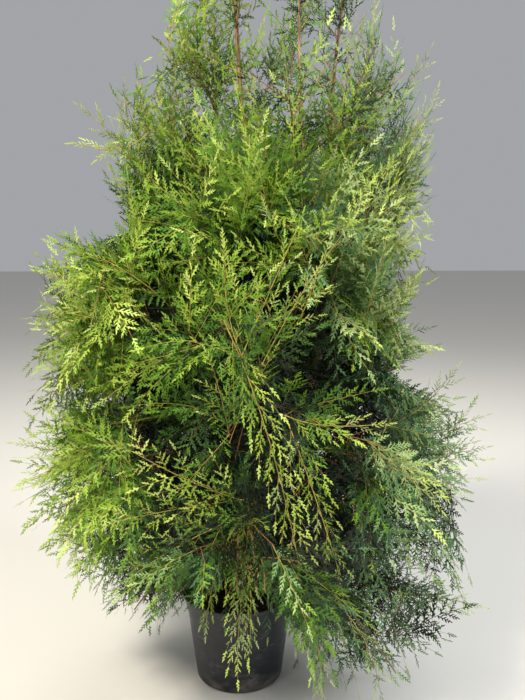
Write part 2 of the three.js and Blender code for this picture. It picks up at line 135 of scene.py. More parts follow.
@dataclass(frozen=True)
class StemSizes:
    """The trunk, or a leader that leaves it at the height of its fork, to the tip of its wood."""

    name: str
    tip: Point
    start_rise: float
    end_rise: float
    root_radius: float
    tip_radius: float = 2.0
    fork: float | None = None
    flare: float = 0.0


@dataclass(frozen=True)
class Tier:
    """One tier of boughs: where they leave their stems, where their wood ends and how they bend."""

    name: str
    azimuth: float
    attach: float
    tip_heights: tuple[float, ...]
    start_rise: float
    end_rise: float
    lift: float
    dense: bool = True
    hang: float = 300.0
    root_radius: float = 8.0


@dataclass(frozen=True)
class CrownRow:
    """Half-width of the crown and its middle, right and back of the origin, at a height."""

    height: float
    radius: float
    right: float
    back: float


@dataclass(frozen=True)
class Notch:
    """A gap in the crown's outline, an ellipse as seen from the eye point."""

    aside: float
    fall: float
    half_width: float
    half_height: float


@dataclass(frozen=True)
class Shoot:
    """A long shoot that stands out from the crown: the point it bends by, its tip and its look."""

    bend: Point
    tip: Point
    sprays: int
    # The painted light and shade of its sprays, as for the other sprays' tones.
    tone: float
    slim: float = 1.0


POT = PotSizes()
SOIL = SoilSizes()
FOOT = SOIL.crown_height + SOIL.gap
TRUNK = StemSizes("trunk", (-14, 4, 1930), 94, 86, 23, tip_radius=2.2, flare=9)
LEADERS = (
    StemSizes("leader_right", (290, 30, 1890), 52, 76, 15, fork=440),
    StemSizes("leader_front", (150, -92, 1800), 50, 86, 9, fork=780),
    StemSizes("leader_back", (-60, 190, 1740), 52, 84, 13, fork=560),
)
TIERS = (
    Tier("skirt", -30, 330, (150, 240, 310, 260, 480), 34, -50, -0.7, hang=120),
    Tier("low", -18, 470, (560,) * 5, 32, -14, -0.3),
    Tier("middle", 5, 690, (860,) * 4, 38, 14, 0.1),
    Tier("upper", 42, 950, (1150,) * 4, 42, 30, 0.4),
    Tier("high", -5, 1180, (1400, 1400, 1420, 1330), 44, 42, 0.6),
    Tier("crest", -30, 1400, (1640,) * 3, 46, 52, 0.8, dense=False, root_radius=5.5),
)
SLIM_TIERS = (
    Tier("slim_low", 18, 580, (710,) * 5, 36, 0, -0.1, root_radius=4.5),
    Tier("slim_middle", 30, 820, (1000,) * 6, 40, 22, 0.2, root_radius=4.5),
    Tier("slim_upper", -18, 1060, (1270,) * 5, 44, 36, 0.5, root_radius=4),
    Tier("slim_high", 30, 1290, (1520,) * 3, 46, 48, 0.7, dense=False, root_radius=3.5),
)
CROWN_ROWS = (
    CrownRow(60, 310, 160, -150),
    CrownRow(150, 410, 130, -110),
    CrownRow(300, 560, 90, -60),
    CrownRow(640, 635, 50, -20),
    CrownRow(820, 560, 25, 0),
    CrownRow(1150, 495, -10, 0),
    CrownRow(1300, 440, 45, 0),
    CrownRow(1560, 410, 85, 0),
    CrownRow(1720, 300, 105, 10),
    CrownRow(2060, 170, 115, 20),
)
SHOOTS = (
    Shoot((12, -385, 555), (-4, -440, 326), 15, 0.78, 0.42),
    Shoot((30, -380, 515), (24, -425, 352), 9, 0.62, 0.4),
    Shoot((-54, -370, 505), (-72, -395, 372), 8, 0.62, 0.4),
    Shoot((-85, -330, 480), (-86, -350, 392), 5, 0.36),
    Shoot((-30, -330, 500), (-30, -360, 385), 6, 0.4),
    Shoot((62, -330, 500), (66, -360, 372), 6, 0.36),
    Shoot((112, -330, 480), (116, -350, 372), 5, 0.42),
    Shoot((170, -430, 406), (180, -445, 221), 7, 0.7, 0.5),
    Shoot((298, -380, 352), (314, -410, 200), 7, 0.62, 0.5),
    Shoot((-99, -470, 706), (-206, -520, 792), 8, 0.98),
    Shoot((-131, -470, 657), (-235, -500, 644), 8, 0.86),
    Shoot((-102, -450, 590), (-210, -470, 519), 8, 0.74),
    Shoot((66, -520, 850), (122, -505, 545), 14, 0.86, 0.45),
    Shoot((140, -510, 740), (199, -495, 546), 9, 0.8, 0.45),
    Shoot((150, -480, 822), (268, -470, 828), 7, 0.92, 0.7),
    Shoot((313, -440, 745), (396, -450, 670), 9, 0.84, 0.8),
    Shoot((0, -430, 988), (-3, -440, 1085), 7, 0.86),
    Shoot((137, -420, 1037), (152, -430, 1112), 6, 0.95),
    Shoot((86, -420, 1027), (51, -430, 1088), 6, 0.95),
    Shoot((-21, -450, 836), (-48, -470, 940), 7, 0.86),
    Shoot((-33, -300, 1282), (-19, -300, 1386), 6, 0.8),
    Shoot((-251, -120, 1404), (-329, -150, 1474), 5, 0.85, 0.7),
    Shoot((-258, -150, 1383), (-335, -160, 1408), 5, 0.9, 0.7),
    Shoot((-392, -150, 1075), (-442, -150, 1112), 5, 0.85, 0.7),
    Shoot((-440, -150, 636), (-500, -150, 619), 5, 0.85, 0.7),
    Shoot((-425, -200, 689), (-495, -200, 712), 5, 0.8, 0.7),
    Shoot((520, -100, 714), (590, -100, 737), 7, 0.6, 0.9),
    Shoot((525, -100, 648), (594, -100, 660), 7, 0.55, 0.9),
    Shoot((530, -150, 285), (596, -150, 264), 5, 0.8, 0.7),
    Shoot((455, 0, 1443), (488, 0, 1530), 7, 0.66, 0.9),
    Shoot((60, -450, 1090), (118, -430, 1220), 7, 0.66, 0.5),
    Shoot((130, -440, 1110), (214, -410, 1212), 7, 0.6, 0.5),
    Shoot((-26, -450, 1040), (-27, -440, 1150), 6, 0.72, 0.6),
    Shoot((-187, -350, 1110), (-270, -340, 1152), 7, 0.82, 0.6),
    Shoot((-272, -350, 1020), (-366, -335, 1046), 7, 0.85, 0.7),
    Shoot((430, -200, 770), (496, -200, 862), 8, 0.5, 0.9),
    Shoot((-60, 230, 520), (-74, 330, 320), 11, 0.5),
    Shoot((-125, 215, 500), (-160, 300, 310), 10, 0.46),
    Shoot((-10, 210, 520), (-8, 300, 330), 10, 0.46),
    Shoot((430, 50, 1560), (474, 50, 1636), 7, 0.6, 0.9),
    Shoot((395, -50, 938), (455, -50, 962), 6, 0.42, 0.8),
    Shoot((370, -50, 850), (428, -50, 882), 6, 0.42, 0.8),
)
SEED = 1207
FLARE_HEIGHT = 45.0
FOOT_SUNK = 10.0
HANDLE_SHARE = 0.38
BOUGH_STEM_SHARE = 0.8
BOUGH_END_RADIUS = 1.6
BOUGH_ABOVE_FORK = 40.0
BOUGH_REACH_SHARE = 0.74
JITTER_AZIMUTH = 7.0
JITTER_REACH = 0.05
JITTER_HEIGHT = 22.0
BOUGH_SHARE = 0.24
LEADER_SHARE = 0.86
LEADER_LIFT = 0.8
CLEAR_GROUND = 18.0
CLEAR_POT = 8.0
ROOM_STEP = 20.0
CURVE_STEPS = 32
HALVINGS = 30
PATH_POINTS = 8
SPINE_POINTS = 7
STEM_POINTS = 24
SPRAY_MIDDLE = 0.55
AT_ONCE = 400
TINY = 1e-6
EYE = (0.0, -1940.0, 1222.0)
HEM_WAVES = ((0.012, 19), (0.008, 7))
HEM = (
    (-0.34, 0.38),
    (-0.27, 0.435),
    (-0.23, 0.475),
    (-0.2, 0.505),
    (-0.16, 0.54),
    (-0.11, 0.545),
    (-0.085, 0.535),
    (-0.07, 0.518),
    (0.06, 0.518),
    (0.075, 0.6),
    (0.11, 0.66),
    (0.19, 0.655),
    (0.27, 0.61),
    (0.3, 0.59),
    (0.35, 0.52),
    (0.4, 0.45),
)
NOTCHES = (
    Notch(0.288, 0.113, 0.062, 0.045),
    Notch(0.276, 0.195, 0.058, 0.031),
    Notch(0.376, 0.418, 0.068, 0.066),
    Notch(-0.31, 0.034, 0.045, 0.034),
    Notch(-0.226, -0.077, 0.056, 0.056),
    Notch(-0.202, -0.012, 0.065, 0.026),
)


# Small helpers


class SeededRandom:
    """Random numbers from 0 to 1, in the order in which the solids were grown."""

    step = 0x6D2B79F5
    stir = 61
    shifts = (15, 7, 14)

    def __init__(self, seed: int) -> None:
        """Starts the sequence.

        Args:
            seed: A whole number that fixes the whole sequence.
        """
        self.state = seed & WORD

    def __call__(self) -> float:
        """Returns the next number."""
        first, second, third = self.shifts
        self.state = (self.state + self.step) & WORD
        mixed = ((self.state ^ (self.state >> first)) * (1 | self.state)) & WORD
        turned = ((mixed ^ (mixed >> second)) * (self.stir | mixed)) & WORD
        mixed = ((mixed + turned) & WORD) ^ mixed
        return ((mixed ^ (mixed >> third)) & WORD) / (WORD + 1)

    def spread(self, size: float) -> float:
        """Returns a number between minus and plus size."""
        return (2 * self() - 1) * size


def heading(azimuth: float, rise: float) -> np.ndarray:
    """Returns the unit vector of an azimuth and a rise, both in degrees."""
    level = math.cos(math.radians(rise))
    turn = math.radians(azimuth)
    return np.array((level * math.cos(turn), level * math.sin(turn), math.sin(math.radians(rise))))


def unit(vectors: np.ndarray) -> np.ndarray:
    """Returns vectors of length one in the same directions."""
    return vectors / np.maximum(np.linalg.norm(vectors, axis=-1, keepdims=True), 1e-9)


def leaning(axes: np.ndarray, sides: np.ndarray, angles: np.ndarray, rolls: np.ndarray) -> np.ndarray:
    """Directions at an angle from their axes, rolled round them from their sides.

    Args:
        axes: Unit vectors, one row each.
        sides: Unit vectors square to the axes.
        angles: Angles from the axes, in radians.
        rolls: Turns round the axes, in radians.

    Returns:
        Unit vectors, one row each.
    """
    normals = np.cross(axes, sides)
    out = np.cos(rolls)[:, None] * sides + np.sin(rolls)[:, None] * normals
    return np.cos(angles)[:, None] * axes + np.sin(angles)[:, None] * out


def distance_to_path(points: np.ndarray, path: np.ndarray) -> np.ndarray:
    """Distance of each point to a path of straight steps.

    Args:
        points: Points, one row each.
        path: The path's own points, in order.

    Returns:
        One distance for each point.
    """
    starts = path[:-1]
    runs = path[1:] - starts
    offsets = points[:, None, :] - starts[None]
    shares = np.clip((offsets * runs).sum(-1) / (runs * runs).sum(-1), 0, 1)
    return np.linalg.norm(offsets - shares[..., None] * runs, axis=-1).min(axis=1)


def along_paths(paths: np.ndarray, shares: np.ndarray) -> tuple[np.ndarray, np.ndarray]:
    """Finds one point on each of several paths of straight steps.

    Args:
        paths: The paths, all with as many points.
        shares: How far along its path each point is, from 0 to 1.

    Returns:
        The points, and the steps that they lie on.
    """
    steps = paths.shape[1] - 1
    places = shares * steps
    lower = np.minimum(places.astype(int), steps - 1)
    rows = np.arange(len(shares))
    runs = paths[rows, lower + 1] - paths[rows, lower]
    return paths[rows, lower] + runs * (places - lower)[:, None], runs


def squared(vectors: np.ndarray, axes: np.ndarray) -> np.ndarray:
    """Returns unit vectors like the given ones, but square to their axes."""
    return unit(vectors - (vectors * axes).sum(1)[:, None] * axes)


def by_height(points: np.ndarray, table: Table) -> np.ndarray:
    """Returns a value for each point from a table of heights and values."""
    heights, values = zip(*table)
    return np.interp(points[:, 2], heights, values)


def quaternions(across: np.ndarray, along: np.ndarray, face: np.ndarray) -> np.ndarray:
    """Turns that carry X, Y and Z to three square directions.

    Args:
        across: Where X goes, one row each.
        along: Where Y goes.
        face: Where Z goes.

    Returns:
        Rows of w, x, y and z.
    """
    trace_terms = np.stack(
        (
            across[:, 0] + along[:, 1] + face[:, 2],
            across[:, 0] - along[:, 1] - face[:, 2],
            along[:, 1] - across[:, 0] - face[:, 2],
            face[:, 2] - across[:, 0] - along[:, 1],
        ),
        axis=1,
    )
    w, x, y, z = np.sqrt(np.maximum(1 + trace_terms, 0)).T / 2
    x = np.copysign(x, along[:, 2] - face[:, 1])
    y = np.copysign(y, face[:, 0] - across[:, 2])
    z = np.copysign(z, across[:, 1] - along[:, 0])
    return unit(np.stack((w, x, y, z), axis=1))


def linear(colour: str) -> Colour:
    """Returns the linear colour of an sRGB hex value such as "a1b2c3"."""
    shades = [int(colour[i : i + 2], 16) / 255 for i in (0, 2, 4)]
    red, green, blue = (s / 12.92 if s <= 0.04045 else ((s + 0.055) / 1.055) ** 2.4 for s in shades)
    return red, green, blue, 1.0


def add_node(tree: NodeTree, kind: str, settings: dict | None = None, **inputs) -> Node:
    """Adds one node with its settings, values and links.

    Args:
        tree: The tree that gets the node.
        kind: The node's type name.
        settings: Values of the node's own properties.
        **inputs: Values of its sockets, or the sockets to link to them. An underscore in a name
            stands for a space, and a name such as in_1 is the socket of that number.

    Returns:
        The node.
    """
    node = tree.nodes.new(kind)
    for name, value in (settings or {}).items():
        setattr(node, name, value)
    for name, value in inputs.items():
        key = int(name[3:]) if name.startswith("in_") else name.replace("_", " ")
        socket = node.inputs[key]
        if isinstance(value, NodeSocket):
            tree.links.new(value, socket)
        else:
            socket.default_value = value
    return node


def new_mesh_object(
    name: str, points: np.ndarray, faces: Sequence[Sequence[int]], smooth: bool = True
) -> Object:
    """Makes a mesh object at the origin.

    Args:
        name: The piece's name.
        points: Its points in metres, one row each.
        faces: Its faces, as indices of points.
        smooth: Whether its faces are shaded as one smooth surface.

    Returns:
        The object, linked to the scene.
    """
    mesh = bpy.data.meshes.new(name)
    mesh.from_pydata(np.asarray(points, float).tolist(), [], [tuple(map(int, f)) for f in faces])
    mesh.update()
    if smooth:
        mesh.shade_smooth()
    else:
        mesh.shade_flat()
    made = bpy.data.objects.new(name, mesh)
    bpy.context.scene.collection.objects.link(made)
    return made


def turns(count: int) -> list[float]:
    """Returns the angles that part a full turn into equal steps."""
    return [math.tau * k / count for k in range(count)]


def tube_faces(rings: int, sides: int, first: int = 0) -> Faces:
    """Gives a tube its faces.

    Args:
        rings: How many rings of points it has, one after another.
        sides: How many points each ring has.
        first: The index of its first point.

    Returns:
        The faces round it, and those of its two flat ends.
    """
    last = first + (rings - 1) * sides
    faces: Faces = []
    for low in range(first, last, sides):
        for k in range(sides):
            after = (k + 1) % sides
            faces.append((low + k, low + after, low + sides + after, low + sides + k))
    faces.append(tuple(first + k for k in reversed(range(sides))))
    faces.append(tuple(last + k for k in range(sides)))
    return faces


def turned_faces(rings: int, sides: int, from_top: bool = False) -> Faces:
    """Gives a turned shape its faces, with one point on the axis before its rings and one after.

    Args:
        rings: How many rings of points it has.
        sides: How many points each ring has.
        from_top: Whether its outline starts at the top, rather than under it.

    Returns:
        The faces, which point outwards.
    """
    last = 1 + rings * sides
    faces: Faces = []
    for k in range(sides):
        after = (k + 1) % sides
        faces.append((0, 1 + after, 1 + k))
        for low in range(1, last - sides, sides):
            faces.append((low + k, low + after, low + sides + after, low + sides + k))
        faces.append((last, last - sides + k, last - sides + after))
    return [face[:1] + face[:0:-1] for face in faces] if from_top else faces


def finish_piece(piece: Object, nodes: Sequence[str] = ()) -> None:
    """Puts a finished piece on the plant's body.

    Args:
        piece: The piece.
        nodes: The CAD nodes that it stands for.
    """
    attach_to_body(piece, BODY)
    if nodes:
        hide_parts(*nodes)
    triangles = sum(len(face.vertices) - 2 for face in piece.data.polygons)
    LOG.info("%s: %d triangles", piece.name, triangles)


# Finishes


@dataclass(frozen=True)
class Finish:
    """A finish: its name, its surface, and the depth and strength of its relief."""

    name: str
    roughness: float
    ior: float = 1.5
    specular: float = 0.5
    relief_mm: float = 0.0
    relief_strength: float = 0.9

    def start(self) -> tuple[Material, NodeTree, NodeSocket]:
        """Starts the material.

        Returns:
            The material, its tree and the socket of object coordinates.
        """
        material = bpy.data.materials.new(self.name)
        material.use_nodes = True
        tree = material.node_tree
        tree.nodes.clear()
        return material, tree, add_node(tree, "ShaderNodeTexCoord").outputs["Object"]

    def end(self, tree: NodeTree, height: NodeSocket | None = None, **inputs) -> None:
        """Ends the material's tree in its relief and its shader.

        Args:
            tree: The tree.
            height: What the relief follows, or None for a surface without any.
            **inputs: What the shader gets besides the finish's own values, or in place of them.
        """
        own = {"Roughness": self.roughness, "IOR": self.ior, "Specular_IOR_Level": self.specular}
        if height:
            depth, strength = self.relief_mm * MM, self.relief_strength
            relief = add_node(tree, "ShaderNodeBump", Height=height, Distance=depth, Strength=strength)
            own["Normal"] = relief.outputs["Normal"]
        shader = add_node(tree, "ShaderNodeBsdfPrincipled", **{**own, **inputs})
        add_node(tree, "ShaderNodeOutputMaterial", Surface=shader.outputs["BSDF"])


def set_stops(ramp: ColorRamp, stops: Sequence[tuple[float, str]]) -> None:
    """Gives a ramp its stops, which are places in rising order with sRGB hex colours."""
    while len(ramp.elements) < len(stops):
        ramp.elements.new(0.5)
    for element, (place, colour) in zip(ramp.elements, stops):
        element.position = place
        element.color = linear(colour)


@dataclass(frozen=True)
class ScaleLeaf(Finish):
    """Thuja scale leaves: waxy and satin, so sprays catch soft highlights on their raised scales."""

    dark: str = "41672b"
    light: str = "5b8230"
    patch_mm: float = 18.0
    scale_mm: float = 2.2
    relief_mm: float = 0.35
    relief_strength: float = 0.5

    def material(self) -> Material:
        """Returns the leaves' material: mottled in soft patches, with a relief of small scales."""
        material, tree, place = self.start()
        patches = add_node(
            tree, "ShaderNodeTexNoise", Vector=place, Scale=1 / (self.patch_mm * MM), Detail=2.0
        )
        colour = add_node(tree, "ShaderNodeValToRGB", Fac=patches.outputs["Fac"])
        set_stops(colour.color_ramp, ((0.36, self.dark), (0.64, self.light)))
        scales = add_node(tree, "ShaderNodeTexVoronoi", Vector=place, Scale=1 / (self.scale_mm * MM))
        self.end(tree, scales.outputs["Distance"], Base_Color=colour.outputs["Color"])
        return material


@dataclass(frozen=True)
class ThujaBark(Finish):
    """Thin bark that splits into upright fibrous strips: dull, reddish brown, paler on its ridges."""

    stops: tuple[tuple[float, str], ...] = ((0.3, "4a3224"), (0.5, "87654b"), (0.72, "c5aa8b"))
    strip_mm: float = 4.0
    strip_stretch: float = 9.0
    relief_mm: float = 1.2

    def material(self) -> Material:
        """Returns the bark's material: strips drawn out along the stem, in colour and relief."""
        material, tree, place = self.start()
        stretched = add_node(
            tree, "ShaderNodeMapping", Vector=place, Scale=(1.0, 1.0, 1 / self.strip_stretch)
        )
        strips = add_node(
            tree,
            "ShaderNodeTexNoise",
            Vector=stretched.outputs["Vector"],
            Scale=1 / (self.strip_mm * MM),
            Detail=6.0,
            Roughness=0.62,
        )
        colour = add_node(tree, "ShaderNodeValToRGB", Fac=strips.outputs["Fac"])
        set_stops(colour.color_ramp, self.stops)
        self.end(tree, strips.outputs["Fac"], Base_Color=colour.outputs["Color"])
        return material


@dataclass(frozen=True)
class MouldedPolypropylene(Finish):
    """Black injection-moulded polypropylene: satin, faintly grained, with pale dust and scuffs."""

    black: str = "090e16"
    worn: str = "151c28"
    dust: str = "857f76"
    wear_mm: float = 26.316
    smear_mm: float = 90.0
    smear_flatness: float = 2.4
    splash_height_mm: float = 70.0
    splash: float = 0.16
    most_dust: float = 0.62
    grain_mm: float = 1.1
    relief_mm: float = 0.12
    relief_strength: float = 0.4

    def material(self) -> Material:
        """Returns the plastic's material: black with worn patches, dust smears and a fine grain."""
        material, tree, place = self.start()
        wear = add_node(
            tree, "ShaderNodeTexNoise", Vector=place, Scale=1 / (self.wear_mm * MM), Detail=5.0, Roughness=0.6
        )
        plastic = add_node(tree, "ShaderNodeValToRGB", Fac=wear.outputs["Fac"])
        set_stops(plastic.color_ramp, ((0.42, self.black), (0.68, self.worn)))
        flattened = add_node(tree, "ShaderNodeMapping", Vector=place, Scale=(1.0, 1.0, self.smear_flatness))
        smear = add_node(
            tree,
            "ShaderNodeTexNoise",
            Vector=flattened.outputs["Vector"],
            Scale=1 / (self.smear_mm * MM),
            Detail=7.0,
            Roughness=0.68,
            Distortion=0.6,
        )
        heights = add_node(tree, "ShaderNodeSeparateXYZ", Vector=place)
        splashed = add_node(
            tree,
            "ShaderNodeMapRange",
            Value=heights.outputs["Z"],
            From_Min=0.0,
            From_Max=self.splash_height_mm * MM,
            To_Min=self.splash,
            To_Max=0.0,
        )
        dusty = add_node(
            tree,
            "ShaderNodeMath",
            {"operation": "ADD"},
            in_0=smear.outputs["Fac"],
            in_1=splashed.outputs["Result"],
        ).outputs[0]
        amount = add_node(
            tree, "ShaderNodeMapRange", Value=dusty, From_Min=0.55, From_Max=0.8, To_Max=self.most_dust
        )
        mixed = add_node(
            tree,
            "ShaderNodeMix",
            {"data_type": "RGBA"},
            in_0=amount.outputs["Result"],
            in_6=plastic.outputs["Color"],
            in_7=linear(self.dust),
        )
        rough = add_node(tree, "ShaderNodeMapRange", Value=dusty, From_Min=0.4, To_Min=0.36, To_Max=0.75)
        grain = add_node(tree, "ShaderNodeTexNoise", Vector=place, Scale=1 / (self.grain_mm * MM), Detail=3.0)
        self.end(
            tree, grain.outputs["Fac"], Base_Color=mixed.outputs[2], Roughness=rough.outputs["Result"]
        )
        return material


@dataclass(frozen=True)
class PottingCompost(Finish):
    """Peat and bark compost: matt, dark and crumbly, with paler fibres and chips."""

    stops: tuple[tuple[float, str], ...] = ((0.34, "1c1510"), (0.55, "382a1e"), (0.74, "6a5138"))
    crumb_mm: float = 3.0
    relief_mm: float = 1.5

    def material(self) -> Material:
        """Returns the compost's material: mottled crumb by crumb, with a rough relief."""
        material, tree, place = self.start()
        crumbs = add_node(
            tree,
            "ShaderNodeTexNoise",
            Vector=place,
            Scale=1 / (self.crumb_mm * MM),
            Detail=6.0,
            Roughness=0.7,
        )
        colour = add_node(tree, "ShaderNodeValToRGB", Fac=crumbs.outputs["Fac"])
        set_stops(colour.color_ramp, self.stops)
        self.end(tree, crumbs.outputs["Fac"], Base_Color=colour.outputs["Color"])
        return material


class Tint(Enum):
    """The tints of the foliage, as painted light and shade: a level from the painted shade of the
    dark inside to the newest tips in painted sunlight, and two shades.

    The cool ones are bluer painted shade: they go to the skirts and to the side away from the sun,
    in place of the warm ones.
    """

    # Each level paints light and shade: INSIDE and SHADE are painted shade, the lighter levels painted
    # sunlight, and the cool ones bluer painted shade.
    INSIDE = (0, None, "0a140a", "132010")
    SHADE = (1, None, "1e3412", "2c4717")
    DEEP = (2, False, "34561b", "4a6f20")
    DEEP_COOL = (2, True, "315534", "4c6f40")
    LEAF = (3, False, "4d761c", "688c23")
    LEAF_COOL = (3, True, "537844", "708f50")
    BRIGHT = (4, False, "6e9324", "8ba935")
    BRIGHT_COOL = (4, True, "7b995a", "98b06e")
    YELLOW = (5, False, "8ba83b", "a6bb49")
    YELLOW_COOL = (5, True, "97ab66", "b2c283")
    # The newest growth, with painted sunlight on the outermost tips.
    NEW = (6, None, "a8bf55", "c0d172")


# Where the wood and the foliage are


class Limb:
    """One woody limb: a curve in an upright plane, round in section and tapering along it."""

    def __init__(
        self, name: str, ends: tuple[np.ndarray, np.ndarray], rises: Pair, radii: Pair, flare: float = 0.0
    ) -> None:
        """Sets out the limb.

        Args:
            name: Its node's name.
            ends: Its first and last point, in millimetres.
            rises: The slopes of its two ends, in degrees above level.
            radii: Its radius at the two ends.
            flare: How much thicker its foot is.
        """
        start, end = (np.asarray(point, float) for point in ends)
        run = end - start
        azimuth = math.degrees(math.atan2(run[1], run[0]))
        handle = HANDLE_SHARE * np.linalg.norm(run)
        self.name = name
        self.side = heading(azimuth + 90, 0)
        self.controls = np.array(
            (
                start,
                start + heading(azimuth, rises[0]) * handle,
                end - heading(azimuth, rises[1]) * handle,
                end,
            )
        )
        self.root_radius, self.tip_radius = radii
        self.flare = flare

    def points(self, shares: Sequence[float] | np.ndarray) -> np.ndarray:
        """Returns the curve's points at these shares of its parameter."""
        t = np.asarray(shares, float)[:, None]
        a, b, c, d = self.controls
        return (1 - t) ** 3 * a + 3 * (1 - t) ** 2 * t * b + 3 * (1 - t) * t**2 * c + t**3 * d

    def tangents(self, shares: Sequence[float] | np.ndarray) -> np.ndarray:
        """Returns the curve's unit tangents at these shares of its parameter."""
        t = np.asarray(shares, float)[:, None]
        a, b, c, d = self.controls
        return unit((1 - t) ** 2 * (b - a) + 2 * (1 - t) * t * (c - b) + t**2 * (d - c))

    def radii(self, shares: Sequence[float] | np.ndarray) -> np.ndarray:
        """Returns the limb's radii at these shares of its parameter."""
        t = np.asarray(shares, float)
        rise = self.points(t)[:, 2] - self.controls[0][2]
        tapered = self.root_radius + (self.tip_radius - self.root_radius) * t
        return tapered + self.flare * np.exp(-rise / FLARE_HEIGHT)

    def length(self) -> float:
        """Returns the length of the limb's curve."""
        points = self.points(np.linspace(0, 1, CURVE_STEPS + 1))
        return float(np.linalg.norm(np.diff(points, axis=0), axis=1).sum())

    def at_height(self, height: float) -> float:
        """Returns the parameter at which a rising limb passes a height."""
        low, high = 0.0, 1.0
        for _ in range(HALVINGS):
            middle = (low + high) / 2
            if self.points((middle,))[0, 2] < height:
                low = middle
            else:
                high = middle
        return low


class Crown:
    """The outline of the whole crown, which nothing grows out of."""

    def __init__(self, rows: Sequence[CrownRow]) -> None:
        """Sets out the outline from its rows, lowest first."""
        self.heights = [row.height for row in rows]
        self.radius = [row.radius for row in rows]
        self.right = [row.right for row in rows]
        self.back = [row.back for row in rows]

    def at(self, heights: np.ndarray) -> tuple[np.ndarray, np.ndarray]:
        """Returns the half-widths of the crown and its middles, right and back, at heights."""
        radius = np.interp(heights, self.heights, self.radius)
        right = np.interp(heights, self.heights, self.right)
        back = np.interp(heights, self.heights, self.back)
        return radius, np.stack((right, back), axis=-1)

    def outness(self, points: np.ndarray) -> np.ndarray:
        """Returns how far out points are, as shares of the crown's half-width there."""
        radius, middle = self.at(points[:, 2])
        return np.linalg.norm(points[:, :2] - middle, axis=1) / radius

    def holds(self, points: np.ndarray) -> np.ndarray:
        """Returns whether each point is in the crown, above the ground and clear of the pot."""
        height = points[:, 2]
        from_axis = np.linalg.norm(points[:, :2], axis=1)
        by_pot = (height < POT.height + CLEAR_POT) & (from_axis < POT.rim_radius + CLEAR_POT)
        inside = (height > CLEAR_GROUND) & (height < self.heights[-1])
        inside &= ~by_pot & (self.outness(points) < 1)
        return inside & (self.above_hem(points) > 0) & ~self.in_notch(points)

    @staticmethod
    def in_notch(points: np.ndarray) -> np.ndarray:
        """Returns whether points are in one of the gaps that the outline has from the front."""
        ahead = points[:, 1] - EYE[1]
        asides = (points[:, 0] - EYE[0]) / ahead
        falls = (EYE[2] - points[:, 2]) / ahead
        away = [
            np.hypot((asides - notch.aside) / notch.half_width, (falls - notch.fall) / notch.half_height)
            for notch in NOTCHES
        ]
        return np.min(away, axis=0) < 1

    @staticmethod
    def above_hem(points: np.ndarray) -> np.ndarray:
        """Returns how far points are above the hem, which is gathered up to show the pot."""
        ahead = points[:, 1] - EYE[1]
        asides, falls = zip(*HEM)
        fall = np.interp((points[:, 0] - EYE[0]) / ahead, asides, falls)
        wavy = sum(size * np.sin(points[:, 0] / length) for size, length in HEM_WAVES)
        return points[:, 2] - EYE[2] + (fall + wavy) * ahead


class Skeleton:
    """The trunk, its leaders and the boughs, each where its solid is."""

    def __init__(self, crown: Crown) -> None:
        """Grows the limbs in the order of the solids, from the same random numbers."""
        random = SeededRandom(SEED)
        trunk = self.stem(TRUNK, np.array((0, 0, FOOT - FOOT_SUNK)))
        forks = [trunk.points((trunk.at_height(spec.fork),))[0] for spec in LEADERS]
        leaders = [self.stem(spec, fork) for spec, fork in zip(LEADERS, forks)]
        self.stems = [trunk, *leaders]
        self.boughs = self.boughs_of(TIERS, crown, random)
        self.slim_boughs = self.boughs_of(SLIM_TIERS, crown, random)

    def boughs_of(self, tiers: Sequence[Tier], crown: Crown, random: SeededRandom) -> list[tuple[Tier, Limb]]:
        """Returns the boughs of several tiers, each with its tier."""
        return [
            (tier, self.bough(tier, index, crown, random))
            for tier in tiers
            for index in range(len(tier.tip_heights))
        ]

    @staticmethod
    def stem(spec: StemSizes, start: np.ndarray) -> Limb:
        """Returns the trunk or a leader that starts at a point."""
        rises = (spec.start_rise, spec.end_rise)
        radii = (spec.root_radius, spec.tip_radius)
        return Limb(spec.name, (start, np.array(spec.tip)), rises, radii, spec.flare)

    def carrier(self, azimuth: float, height: float) -> tuple[np.ndarray, float]:
        """Finds the stem that stands furthest out towards an azimuth at a height.

        Args:
            azimuth: The azimuth in degrees.
            height: The height in millimetres.

        Returns:
            The point on that stem, and the stem's radius there.
        """
        found = []
        for stem in self.stems:
            if stem.controls[0][2] + BOUGH_ABOVE_FORK <= height:
                share = stem.at_height(height)
                point = stem.points((share,))[0]
                found.append((float(point @ heading(azimuth, 0)), point, float(stem.radii((share,))[0])))
        _, point, radius = max(found, key=lambda row: row[0])
        return point, radius

    def bough(self, tier: Tier, index: int, crown: Crown, random: SeededRandom) -> Limb:
        """Returns one bough of a tier, with four draws of the random numbers."""
        azimuth = tier.azimuth + 360 * index / len(tier.tip_heights) + random.spread(JITTER_AZIMUTH)
        attach = tier.attach + random.spread(JITTER_HEIGHT)
        height = tier.tip_heights[index] + random.spread(JITTER_HEIGHT)
        radius, middle = crown.at(np.array(height))
        reach = float(radius) * BOUGH_REACH_SHARE * (1 + random.spread(JITTER_REACH))
        start, stem_radius = self.carrier(azimuth, attach)
        end = np.array((middle[0], middle[1], height)) + heading(azimuth, 0) * reach
        root_radius = min(tier.root_radius, BOUGH_STEM_SHARE * stem_radius)
        rises = (tier.start_rise, tier.end_rise)
        return Limb(f"{tier.name}_{index + 1}", (start, end), rises, (root_radius, BOUGH_END_RADIUS))


@dataclass
class Axis:
    """A twig or stem that carries sprays: its path of eight points, and its radii along it."""

    path: np.ndarray
    radii: np.ndarray
    side: np.ndarray
    order: int

    def length(self) -> float:
        """Returns the length of the path."""
        return float(np.linalg.norm(np.diff(self.path, axis=0), axis=1).sum())


